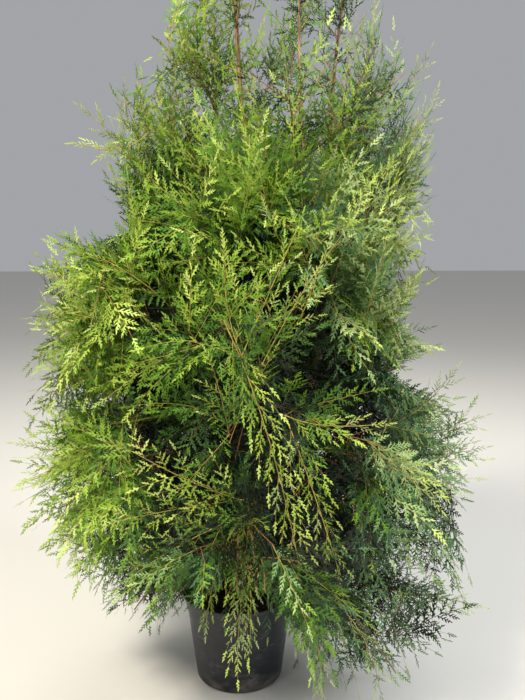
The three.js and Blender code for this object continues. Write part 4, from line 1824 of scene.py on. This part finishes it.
@dataclass
class PottingSoil:
    """The soil in the container: a lumpy surface strewn with crumbs. Sizes are in millimetres."""

    segments: int = 96
    rings: int = 30
    dent_room: float = 1.2
    settled: float = 2.0
    lump_mm: float = 5.0
    lump_width: float = 16.0
    lump_octaves: int = 4
    edge_lumps: float = 0.35
    crumb_density: float = 26000.0
    crumb_sizes: Pair = (0.6, 3.2)
    crumbs_within: float = 0.94
    level_from: float = 0.5
    seed: int = 5
    finish: PottingCompost = PottingCompost("peat_compost", roughness=0.95)

    def inner_radius(self, height: float) -> float:
        """Returns the radius of the soil's side at a height, in millimetres, clear of the wall's dents."""
        low = (POT.heel + POT.floor, POT.base_radius)
        shoulder = (POT.shoulder_height, POT.shoulder_radius)
        top = (POT.height, POT.rim_radius - POT.lip)
        heights, radii = zip(low, shoulder, top)
        return float(np.interp(height, heights, radii)) - POT.wall - 2 * SOIL.gap - self.dent_room

    def top_height(self, x: float, y: float, share: float) -> float:
        """Returns the surface's height over a point in millimetres, lumpy but for its very edge."""
        radius = math.hypot(x, y)
        slope = (radius - SOIL.crown_radius) / (self.inner_radius(SOIL.edge_height) - SOIL.crown_radius)
        base = SOIL.crown_height - (SOIL.crown_height - SOIL.edge_height) * max(0.0, slope)
        place = Vector((x / self.lump_width, y / self.lump_width, 0.0))
        lumps = noise.fractal(place, 1.0, 2.0, self.lump_octaves)
        return base - self.settled + self.lump_mm * lumps * min(1.0, 4 * (1 - share) + self.edge_lumps)

    def build(self) -> None:
        """Builds the soil and its crumbs."""
        outer = self.inner_radius(SOIL.edge_height)
        bottom = POT.floor + SOIL.gap
        points = [(0.0, 0.0, self.top_height(0, 0, 0))]
        for ring in range(1, self.rings + 1):
            share = ring / self.rings
            for angle in turns(self.segments):
                x, y = outer * share * math.cos(angle), outer * share * math.sin(angle)
                points.append((x, y, self.top_height(x, y, share)))
        side = [(self.inner_radius(POT.shoulder_height), POT.shoulder_height)]
        side += [(POT.base_radius - POT.wall - POT.heel - 2 * SOIL.gap, bottom)]
        for radius, height in side:
            for angle in turns(self.segments):
                points.append((radius * math.cos(angle), radius * math.sin(angle), height))
        points.append((0.0, 0.0, bottom))
        faces = turned_faces(self.rings + len(side), self.segments, from_top=True)
        soil = new_mesh_object("potting_soil", np.array(points) * MM, faces)
        material = self.finish.material()
        soil.data.materials.append(material)
        finish_piece(soil, ["soil"])
        self.strew(soil, material)

    def strew(self, soil: Object, material: Material) -> None:
        """Strews crumbs of compost over the top of the soil."""
        inner = self.crumbs_within * self.inner_radius(SOIL.edge_height) * MM
        top = [
            face
            for face in soil.data.polygons
            if face.normal.z > self.level_from and face.center.xy.length < inner
        ]
        used = sorted({index for face in top for index in face.vertices})
        order = {index: place for place, index in enumerate(used)}
        points = np.array([soil.data.vertices[index].co for index in used])
        faces = [tuple(order[index] for index in face.vertices) for face in top]
        host = new_mesh_object("crumb_host", points, faces)
        crumb = self.crumb()
        smallest, largest = self.crumb_sizes
        crumbs = CrumbScatter().grow(
            host,
            "soil_crumbs",
            Crumb=crumb,
            Density=self.crumb_density,
            Smallest=smallest * MM,
            Largest=largest * MM,
            Seed=self.seed,
            Material=material,
        )
        bpy.data.objects.remove(crumb)
        finish_piece(crumbs)

    @staticmethod
    def crumb() -> Object:
        """Returns one rough crumb of unit size: an octahedron with its corners out of true."""
        corners = ((1.2, 0, 0.1), (-1, 0.2, 0), (0, 1, -0.1), (0.2, -1.1, 0), (0, 0.1, 0.8), (0.1, 0, -0.7))
        faces = ((0, 2, 4), (2, 1, 4), (1, 3, 4), (3, 0, 4), (2, 0, 5), (1, 2, 5), (3, 1, 5), (0, 3, 5))
        return new_mesh_object("crumb", np.array(corners), faces, smooth=False)


@dataclass
class BarkedLimbs:
    """The wood: the whole of every limb, with the relief of its bark.

    Sizes are in millimetres. The fine strips are given by their share of the strips' relief and by
    how many times closer they lie.
    """

    skeleton: Skeleton
    finish: ThujaBark = ThujaBark("fibrous_thuja_bark", roughness=0.86)
    young: ThujaBark = ThujaBark(
        "young_thuja_bark",
        roughness=0.7,
        stops=((0.3, "5c4535"), (0.5, "8b6d54"), (0.72, "b8a08a")),
        strip_mm=2.5,
        relief_mm=0.4,
    )
    trunk_sides: int = 30
    leader_sides: int = 20
    bough_sides: int = 10
    slim_sides: int = 8
    ring_step: float = 6.0
    fewest_rings: int = 6
    relief_share: float = 0.13
    strip_width: float = 9.0
    strip_length: float = 60.0
    fine_strips: Pair = (0.6, 2.1)
    knot_share: float = 0.35
    knot_length: float = 23.0
    least_strips: float = 1.1
    lobes: int = 5
    lobe_share: float = 0.1
    lobe_height: float = 40.0
    lobe_turn: float = 0.7

    def relief(self, angle: float, along: float, radius: float) -> float:
        """Returns how far the bark stands out as a share of the radius, in upright strips."""
        strips_round = self.least_strips + radius / self.strip_width
        across, aside = math.cos(angle) * strips_round, math.sin(angle) * strips_round
        place = Vector((across, aside, along / self.strip_length))
        size, finer = self.fine_strips
        strips = noise.noise(place) + size * noise.noise(place * finer)
        knots = noise.noise(Vector((along / self.knot_length, angle, 3.0)))
        return self.relief_share * (strips + self.knot_share * knots)

    def foot_lobes(self, limb: Limb, angle: float, along: float) -> float:
        """Returns how far the foot of a flared limb stands out in lobes, as a share of the radius."""
        round_it = self.lobe_share * math.cos(self.lobes * angle + self.lobe_turn)
        return round_it * min(1.0, limb.flare) * math.exp(-along / self.lobe_height)

    def tube(self, limb: Limb, sides: int) -> Object:
        """Makes one limb's tube.

        Args:
            limb: The limb. One that is flared stands on the soil, and is cut flat there.
            sides: How many points each ring has.

        Returns:
            The tube, closed at both ends.
        """
        length = limb.length()
        count = max(self.fewest_rings, round(length / self.ring_step))
        shares = np.linspace(0, 1, count + 1)
        points = []
        rows = zip(limb.points(shares), limb.tangents(shares), limb.radii(shares), shares * length)
        for centre, tangent, radius, along in rows:
            normal = np.cross(tangent, limb.side)
            for angle in turns(sides):
                share = 1 + self.relief(angle, along, radius) + self.foot_lobes(limb, angle, along)
                point = centre + radius * share * (math.cos(angle) * limb.side + math.sin(angle) * normal)
                if limb.flare:
                    point[2] = max(point[2], FOOT)
                points.append(point * MM)
        return new_mesh_object(f"bark_{limb.name}", np.array(points), tube_faces(count + 1, sides))

    def dress(self, limbs: Sequence[Limb], sides: int, material: Material, solid: bool = True) -> None:
        """Builds limbs in one bark.

        Args:
            limbs: The limbs.
            sides: How many points each ring of their tubes has.
            material: Their bark.
            solid: Whether they stand for solids of the same names.
        """
        for limb in limbs:
            tube = self.tube(limb, sides)
            tube.data.materials.append(material)
            finish_piece(tube, [limb.name] if solid else [])

    def build(self) -> None:
        """Builds the trunk, the leaders and the boughs."""
        old, young = self.finish.material(), self.young.material()
        trunk, *leaders = self.skeleton.stems
        self.dress([trunk], self.trunk_sides, old)
        self.dress(leaders, self.leader_sides, old)
        self.dress([bough for _, bough in self.skeleton.boughs], self.bough_sides, young)
        self.dress([bough for _, bough in self.skeleton.slim_boughs], self.slim_sides, young, solid=False)


@dataclass(frozen=True)
class BranchletForm:
    """One size of branchlet: its length, and how many scaly shoots leave it."""

    length: float
    shoots: int


@dataclass
class Branchlets:
    """The small shapes that the foliage is made of: flat branchlets of three sizes.

    Lengths are in millimetres and angles in degrees. A pair is the least and the most, and each
    fork is given by the side that it turns to and its place along the shoot.
    """

    forms: tuple[BranchletForm, ...] = (BranchletForm(20, 5), BranchletForm(40, 8), BranchletForm(70, 13))
    variants: int = 4
    arches: Pair = (-0.1, 0.02)
    sway: float = 0.06
    cup: float = 0.25
    axis_width: float = 2.4
    axis_taper: float = 0.55
    first_shoot: float = 0.08
    shoots_over: float = 0.9
    place_give: float = 0.2
    shoot_width: float = 3.5
    shoot_widths: Pair = (0.85, 1.15)
    shoot_share: float = 0.34
    shoot_shortest: float = 5.5
    shoot_lengths: Pair = (0.7, 1.2)
    shoot_angles: Pair = (34.0, 50.0)
    angle_lost: float = 12.0
    shoot_foot: float = 1.2
    widest_at: float = 0.36
    tilt: float = 0.18
    least_forked: float = 14.5
    forks: tuple[tuple[int, float], ...] = ((1, 0.5), (-1, 0.64))
    fork_angle: float = 38.0
    fork_foot: float = 1.8
    fork_share: float = 0.42
    tip_width: float = 0.45
    foot_swell: float = 0.5
    swell_slope: float = 2.6
    swell_fall: float = 0.62
    least_swell: float = 0.16
    foot_rise: float = 0.15
    middle_fall: float = 0.25
    middle_tilt: float = 0.4
    fork_tilts: tuple[float, ...] = (0.5, 0.6, 0.9)
    tip_at: float = 0.97
    tip_beyond: float = 7.0
    seed: int = 31

    def shape(self, form: BranchletForm, random: np.random.Generator) -> tuple[np.ndarray, Faces]:
        """Draws one branchlet along +Y with its face up.

        Args:
            form: Its size.
            random: The source of its irregularities.

        Returns:
            Its points in metres, and its faces.
        """
        points: list[Point] = []
        faces: Faces = []
        arch = random.uniform(*self.arches)
        sway = random.uniform(-self.sway, self.sway)
        length = form.length

        def add(x: float, y: float, z: float = 0.0) -> None:
            """Adds a point, arched, swayed and cupped as the whole branchlet is."""
            share = y / length
            rise = z + arch * length * share**2 - self.cup * x * x / length
            points.append(((x + sway * length * share**2) * MM, y * MM, rise * MM))

        for share in (0.0, 0.5, 1.0):
            half = self.axis_width / 2 * (1 - self.axis_taper * share)
            add(-half, share * length)
            add(half, share * length)
        faces += [(0, 1, 3, 2), (2, 3, 5, 4)]
        for k in range(form.shoots):
            place = k + random.uniform(-self.place_give, self.place_give)
            share = self.first_shoot + self.shoots_over * place / form.shoots
            side = 1 if k % 2 else -1
            angle = math.radians(random.uniform(*self.shoot_angles) - self.angle_lost * share)
            swell = min(1.0, self.swell_slope * share + self.foot_swell) * (1 - share) ** self.swell_fall
            reach = self.shoot_share * length * (swell + self.least_swell)
            reach = max(self.shoot_shortest, reach * random.uniform(*self.shoot_lengths))
            half = self.shoot_width / 2 * random.uniform(*self.shoot_widths)
            tilt = random.uniform(-self.tilt, self.tilt) * reach
            out = np.array((side * math.sin(angle), math.cos(angle)))
            across = np.array((out[1], -out[0]))
            root = np.array((0.0, share * length))
            middle = root + out * reach * self.widest_at
            first = len(points)
            add(*(root - out * self.shoot_foot), self.foot_rise)
            add(*(middle + across * half), self.middle_tilt * tilt - self.middle_fall)
            add(*(root + out * reach), tilt)
            add(*(middle - across * half), self.middle_tilt * tilt - self.middle_fall)
            faces += [(first, first + 1, first + 2), (first, first + 2, first + 3)]
            if reach < self.least_forked:
                continue
            low, high, end = self.fork_tilts
            for turn, fork_at in self.forks:
                fork = root + out * reach * fork_at
                lean = math.radians(self.fork_angle * turn)
                aside = out * math.cos(lean) + across * math.sin(lean)
                first = len(points)
                add(*(fork - out * self.fork_foot), low * tilt)
                add(*(fork + out * self.fork_foot), high * tilt)
                add(*(fork + aside * reach * self.fork_share), end * tilt)
                faces.append((first, first + 1, first + 2))
        tip = len(points)
        half = self.shoot_width * self.tip_width
        add(-half, length * self.tip_at)
        add(half, length * self.tip_at)
        add(0.0, length + self.tip_beyond)
        faces.append((tip, tip + 1, tip + 2))
        return np.array(points), faces

    def build(self) -> Collection:
        """Makes every variant of every form, in a collection of its own."""
        random = np.random.default_rng(self.seed)
        collection = bpy.data.collections.new("branchlets")
        for size, form in enumerate(self.forms):
            for variant in range(self.variants):
                points, faces = self.shape(form, random)
                made = new_mesh_object(f"branchlet_{size}_{variant}", points, faces, smooth=False)
                bpy.context.scene.collection.objects.unlink(made)
                collection.objects.link(made)
        return collection

    def pick(
        self, lengths: np.ndarray, hidden: np.ndarray, random: np.random.Generator
    ) -> tuple[np.ndarray, np.ndarray]:
        """Picks a form for each wanted length.

        Args:
            lengths: The wanted lengths in millimetres.
            hidden: Which ones lie deep inside, where a smaller form with fewer shoots will do.
            random: The source of the choice between variants.

        Returns:
            The index of each form, and the size that it is scaled by.
        """
        own = np.array([form.length for form in self.forms], float)
        nearest = np.abs(np.log(lengths[:, None] / own[None])).argmin(axis=1)
        nearest = np.where(hidden, np.minimum(nearest, 1), nearest)
        index = nearest * self.variants + random.integers(0, self.variants, len(lengths))
        return index, lengths / own[nearest]


@dataclass
class Foliage:
    """All the foliage: twigs, ribs of sprays, and branchlets dealt out to tints by spray.

    Lengths are in millimetres and angles in degrees. A pair is the least and the most, and a
    give is how far a value strays to both sides.
    """

    axes: list[Axis]
    sprays: Sprays
    nodes: list[str]
    shapes: Branchlets = field(default_factory=Branchlets)
    tubes: TwigTubes = field(default_factory=TwigTubes)
    spacing: float = 15.0
    fewest: int = 7
    first_at: float = 0.1
    spread_over: float = 0.86
    place_give: float = 0.25
    last_at: float = 0.97
    angle_at_foot: float = 57.0
    angle_lost: float = 24.0
    angle_give: float = 5.0
    last_angle: float = 0.06
    tilt: float = 0.1
    tilt_give: float = 0.14
    sag: float = 0.12
    branchlet_share: float = 0.42
    branchlet_gives: Pair = (0.78, 1.12)
    branchlet_lengths: Pair = (10.0, 92.0)
    last_share: float = 0.16
    last_more: float = 8.0
    lighter_to_tip: float = 0.38
    tone_give: float = 0.06
    cool_right_of: float = 200.0
    cool_right_over: float = 260.0
    cool_below: float = 420.0
    cool_below_over: float = 240.0
    cool_give: float = 0.35
    over_ground: float = 12.0
    size_give: float = 0.08
    step_ahead: float = 0.02
    foot_swell: float = 0.5
    swell_slope: float = 2.2
    swell_fall: float = 0.7
    slimmest_length: float = 0.5
    tone_middle: float = 0.45
    rib_end: float = 0.96
    rib_radius: float = 0.6
    rib_radius_more: float = 0.4
    rib_longest: float = 200.0
    rib_taper: float = 0.6
    rib_shade: float = 0.46
    rib_steps: int = 4
    twig_sides: int = 5
    rib_sides: int = 3
    most_triangles: int = 190000
    tone_steps: tuple[float, ...] = (0.1, 0.26, 0.42, 0.58, 0.74, 0.88)
    seed: int = 77

    def branchlets(self) -> dict[str, np.ndarray]:
        """Places the branchlets in two rows along every spray, shorter to its tip.

        Returns:
            Their places in metres, turns, lengths in millimetres, tones and whether they are cool.
        """
        random = np.random.default_rng(self.seed)
        sprays = self.sprays
        counts = np.maximum(self.fewest, np.round(sprays.lengths / self.spacing)).astype(int)
        rows = np.repeat(np.arange(len(counts)), counts)
        total = len(rows)
        steps = np.arange(total) - np.repeat(np.cumsum(counts) - counts, counts)
        ends = steps == counts[rows] - 1
        strayed = steps + random.uniform(-self.place_give, self.place_give, total)
        shares = np.where(ends, self.last_at, self.first_at + self.spread_over * strayed / counts[rows])
        places = sprays.at(rows, shares)
        alongs = unit(sprays.at(rows, shares + self.step_ahead) - places)
        faces = squared(sprays.faces[rows], alongs)
        across = np.cross(alongs, faces)
        side = np.where(steps % 2, 1.0, -1.0)
        slim = sprays.slims[rows]
        angles = self.angle_at_foot - self.angle_lost * shares + random.normal(0, self.angle_give, total)
        angles = np.radians(angles) * np.where(ends, self.last_angle, slim)
        tilt = random.normal(0, self.tilt_give, total) - self.tilt
        out = unit(across * side[:, None] + faces * tilt[:, None])
        direction = unit(np.cos(angles)[:, None] * alongs + np.sin(angles)[:, None] * out)
        direction = unit(direction - self.sag * (1 - shares)[:, None] * UP)
        normal = unit(np.cross(np.cross(direction, faces), direction))
        swell = np.minimum(1, self.foot_swell + self.swell_slope * shares)
        swell = swell * (1 - shares) ** self.swell_fall
        lengths = sprays.lengths[rows] * self.branchlet_share * swell
        lengths *= random.uniform(*self.branchlet_gives, total)
        lengths *= self.slimmest_length + (1 - self.slimmest_length) * slim
        lengths = np.where(ends, self.last_share * sprays.lengths[rows] + self.last_more, lengths)
        # Lighter towards each spray's tip: lighter new growth, and painted highlights on the ends.
        tones = sprays.tones[rows] + self.lighter_to_tip * (shares - self.tone_middle)
        tones += random.normal(0, self.tone_give, total)
        return {
            "cools": self.cool(random)[rows],
            "places": places * MM,
            "turns": quaternions(np.cross(direction, normal), direction, normal),
            "lengths": np.clip(lengths, *self.branchlet_lengths),
            "tones": tones,
        }

    def cool(self, random: np.random.Generator) -> np.ndarray:
        """Returns which sprays get the cool tints of bluer painted shade: most of the right side, and of the
        skirts.
        """
        middles = self.sprays.middles()
        right = (middles[:, 0] - self.cool_right_of) / self.cool_right_over
        low = (self.cool_below - middles[:, 2]) / self.cool_below_over
        return np.maximum(right, low) + random.normal(0, self.cool_give, len(middles)) > 0

    def above_ground(self, laid: dict[str, np.ndarray]) -> dict[str, np.ndarray]:
        """Returns the branchlets that reach no lower than just over the ground."""
        kept = laid["places"][:, 2] > (laid["lengths"] + self.over_ground) * MM
        return {name: values[kept] for name, values in laid.items()}

    def build(self) -> None:
        """Builds every piece of the foliage."""
        self.build_twigs()
        self.build_branchlets()

    def build_branchlets(self) -> None:
        """Builds the branchlets, one tint to a piece."""
        laid = self.above_ground(self.branchlets())
        random = np.random.default_rng(self.seed + 1)
        steps = np.digitize(laid["tones"], self.tone_steps)
        index, size = self.shapes.pick(laid["lengths"], steps == 0, random)
        collection = self.shapes.build()
        shapes = sorted(collection.objects, key=lambda shape: shape.name)
        weights = np.array([sum(len(face.vertices) - 2 for face in shape.data.polygons) for shape in shapes])
        scatter = BranchletScatter()
        for number, tint in enumerate(Tint):
            step, cool, dark, light = tint.value
            alike = (steps == step) & (cool is None or laid["cools"] == cool)
            rows = np.flatnonzero(alike)
            name = f"scale_leaf_{tint.name.lower()}"
            leaf = ScaleLeaf(name, roughness=0.58, ior=1.45, specular=0.3, dark=dark, light=light)
            material = leaf.material()
            parts = max(1, math.ceil(weights[index[rows]].sum() / self.most_triangles))
            for part, chosen in enumerate(np.array_split(rows, parts)):
                host = self.host(f"host_{name}_{part}", laid, index, size, chosen)
                piece = scatter.grow(
                    host,
                    f"sprays_{tint.name.lower()}_{part + 1}",
                    Branchlets=collection,
                    Size_Give=self.size_give,
                    Seed=number,
                    Material=material,
                )
                finish_piece(piece, self.nodes)
        for shape in shapes:
            bpy.data.objects.remove(shape)
        bpy.data.collections.remove(collection)

    @staticmethod
    def host(
        name: str, laid: dict[str, np.ndarray], index: np.ndarray, size: np.ndarray, rows: np.ndarray
    ) -> Object:
        """Returns an object of bare points that carry the branchlets' attributes."""
        host = new_mesh_object(name, laid["places"][rows], [])
        carried = (
            ("turn", "QUATERNION", laid["turns"][rows].ravel()),
            ("size", "FLOAT", size[rows]),
            ("form", "INT", index[rows].astype(np.int32)),
        )
        for label, kind, values in carried:
            host.data.attributes.new(label, kind, "POINT").data.foreach_set("value", values)
        return host

    def build_twigs(self) -> None:
        """Builds the twigs in young bark, and the ribs of the sprays in yellow-green, with a dark copy as
        painted shade for the ribs of shaded sprays.
        """
        twigs = [axis for axis in self.axes if 0 < axis.order < RIB_ORDER]
        bark = ThujaBark(
            "twig_bark",
            roughness=0.66,
            stops=((0.3, "704629"), (0.5, "986839"), (0.72, "b98f4e")),
            strip_mm=2.0,
            relief_mm=0.3,
        )
        host = self.path_host("twig_host", [axis.path for axis in twigs], [axis.radii for axis in twigs])
        piece = self.tubes.grow(host, "twigs", Sides=self.twig_sides, Material=bark.material())
        finish_piece(piece, self.nodes)
        # Lit and shaded copies of the ribs: those of shaded sprays get dark painted shade.
        shaded = self.sprays.tones < self.rib_shade
        dim, lit = (self.sprays.rows(np.flatnonzero(chosen)) for chosen in (shaded, ~shaded))
        shoots = [axis for axis in self.axes if axis.order == RIB_ORDER]
        self.build_ribs("spray_ribs_shaded", dim, [], ("2c3a1c", "465026"))
        self.build_ribs("spray_ribs", lit, shoots, ("90803a", "bca148"))

    def build_ribs(self, name: str, sprays: Sprays, shoots: list[Axis], shades: tuple[str, str]) -> None:
        """Builds the ribs of sprays and of the long shoots.

        Args:
            name: The piece's name.
            sprays: The sprays.
            shoots: The long shoots.
            shades: The two hex colours of the ribs' mottling.
        """
        count = len(sprays.lengths)
        shares = np.linspace(0, self.rib_end, self.rib_steps + 1)
        rows = np.repeat(np.arange(count), len(shares))
        points = sprays.at(rows, np.tile(shares, count)).reshape(count, len(shares), 3)
        sizes = self.rib_radius + self.rib_radius_more * sprays.lengths / self.rib_longest
        radii = sizes[:, None] * (1 - self.rib_taper * shares)[None]
        paths = [*points, *(axis.path for axis in shoots)]
        host = self.path_host(f"{name}_host", paths, [*radii, *(axis.radii for axis in shoots)])
        rib = ScaleLeaf(name, roughness=0.5, ior=1.45, dark=shades[0], light=shades[1])
        piece = self.tubes.grow(host, name, Sides=self.rib_sides, Material=rib.material())
        finish_piece(piece, self.nodes)

    @staticmethod
    def path_host(name: str, paths: Sequence[np.ndarray], radii: Sequence[np.ndarray]) -> Object:
        """Returns an object of bare paths, in metres, that carry their thickness."""
        mesh = bpy.data.meshes.new(name)
        points = np.concatenate(list(paths)) * MM
        steps = [len(path) for path in paths]
        firsts = np.cumsum([0, *steps[:-1]])
        edges = [(int(f) + i, int(f) + i + 1) for f, n in zip(firsts, steps) for i in range(n - 1)]
        mesh.from_pydata(points.tolist(), edges, [])
        thickness = np.concatenate(list(radii)) * MM
        mesh.attributes.new("thickness", "FLOAT", "POINT").data.foreach_set("value", thickness)
        host = bpy.data.objects.new(name, mesh)
        bpy.context.scene.collection.objects.link(host)
        return host


@dataclass(frozen=True)
class Lamp:
    """A soft square light: its place and what it points at, in metres, and its power in watts."""

    name: str
    at: Point
    towards: Point
    power: float
    size: float
    colour: str

    def build(self) -> None:
        """Builds the light."""
        lamp = bpy.data.lights.new(self.name, "AREA")
        lamp.energy = self.power
        lamp.size = self.size
        lamp.color = linear(self.colour)[:3]
        made = bpy.data.objects.new(self.name, lamp)
        made.location = self.at
        made.rotation_euler = (Vector(self.towards) - Vector(self.at)).to_track_quat("-Z", "Y").to_euler()
        bpy.context.scene.collection.objects.link(made)


@dataclass(frozen=True)
class Studio:
    """The plain pale floor, the soft lights and the camera."""

    floor_size: float = 40.0
    floor_colour: str = "d9d6cf"
    sky_colour: str = "e6e9ee"
    sky_strength: float = 0.46
    camera_at: Point = (0.0, -1.94, 1.222)
    camera_pitch: float = -9.2
    camera_yaw: float = 1.895
    focal_px: float = 750.0
    frame_height_px: float = 700.0
    sensor: float = 36.0
    lamps: tuple[Lamp, ...] = (
        Lamp("key", (-2.0, -2.3, 4.6), (0.0, 0.0, 0.9), power=325.0, size=0.9, colour="fff8ea"),
        Lamp("fill", (3.0, -1.7, 3.4), (0.15, 0.0, 0.7), power=165.0, size=1.8, colour="f2f5fb"),
        Lamp("back", (0.6, 2.8, 3.8), (0.1, 0.0, 1.1), power=60.0, size=1.8, colour="fbfbf6"),
    )

    def build(self) -> None:
        """Builds the studio."""
        self.build_floor()
        self.build_sky()
        for lamp in self.lamps:
            lamp.build()
        self.build_camera()

    def build_floor(self) -> None:
        """Builds the floor, which isn't part of the plant."""
        half = self.floor_size / 2
        corners = np.array(((-half, -half, 0), (half, -half, 0), (half, half, 0), (-half, half, 0)))
        floor = new_mesh_object("studio_floor", corners, [(0, 1, 2, 3)])
        finish = Finish("pale_studio_floor", roughness=0.9)
        material, tree, _ = finish.start()
        finish.end(tree, Base_Color=linear(self.floor_colour))
        floor.data.materials.append(material)
        floor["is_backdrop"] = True

    def build_sky(self) -> None:
        """Builds the even light all round."""
        world = bpy.data.worlds.new("studio_sky")
        world.use_nodes = True
        background = world.node_tree.nodes["Background"]
        background.inputs["Color"].default_value = linear(self.sky_colour)
        background.inputs["Strength"].default_value = self.sky_strength
        bpy.context.scene.world = world
        bpy.context.scene.view_settings.view_transform = "Standard"

    def build_camera(self) -> None:
        """Builds the camera where the photograph was taken from."""
        data = bpy.data.cameras.new("camera")
        data.sensor_width = self.sensor
        data.lens = self.focal_px / self.frame_height_px * self.sensor
        camera = bpy.data.objects.new("camera", data)
        camera.location = self.camera_at
        yaw, pitch = math.radians(-self.camera_yaw), math.radians(90 + self.camera_pitch)
        camera.rotation_euler = (Matrix.Rotation(yaw, 3, "Z") @ Matrix.Rotation(pitch, 3, "X")).to_euler()
        bpy.context.scene.collection.objects.link(camera)
        bpy.context.scene.camera = camera


def main() -> None:
    """Loads the frame and builds the plant, its pot and the studio."""
    logging.basicConfig(level=logging.INFO, format="%(name)s: %(message)s")
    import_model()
    solid_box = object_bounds()
    crown = Crown(CROWN_ROWS)
    skeleton = Skeleton(crown)
    NurseryPot().build()
    PottingSoil().build()
    BarkedLimbs(skeleton).build()
    growth = Growth(skeleton, crown, solid_box, GrowthRule(), seed=SEED)
    axes, sprays = growth.grow()
    limbs = [*skeleton.stems, *(limb for _, limb in skeleton.boughs)]
    Foliage(axes, sprays, [f"foliage_{limb.name}" for limb in limbs]).build()
    Studio().build()


if __name__ == "__main__":
    main()
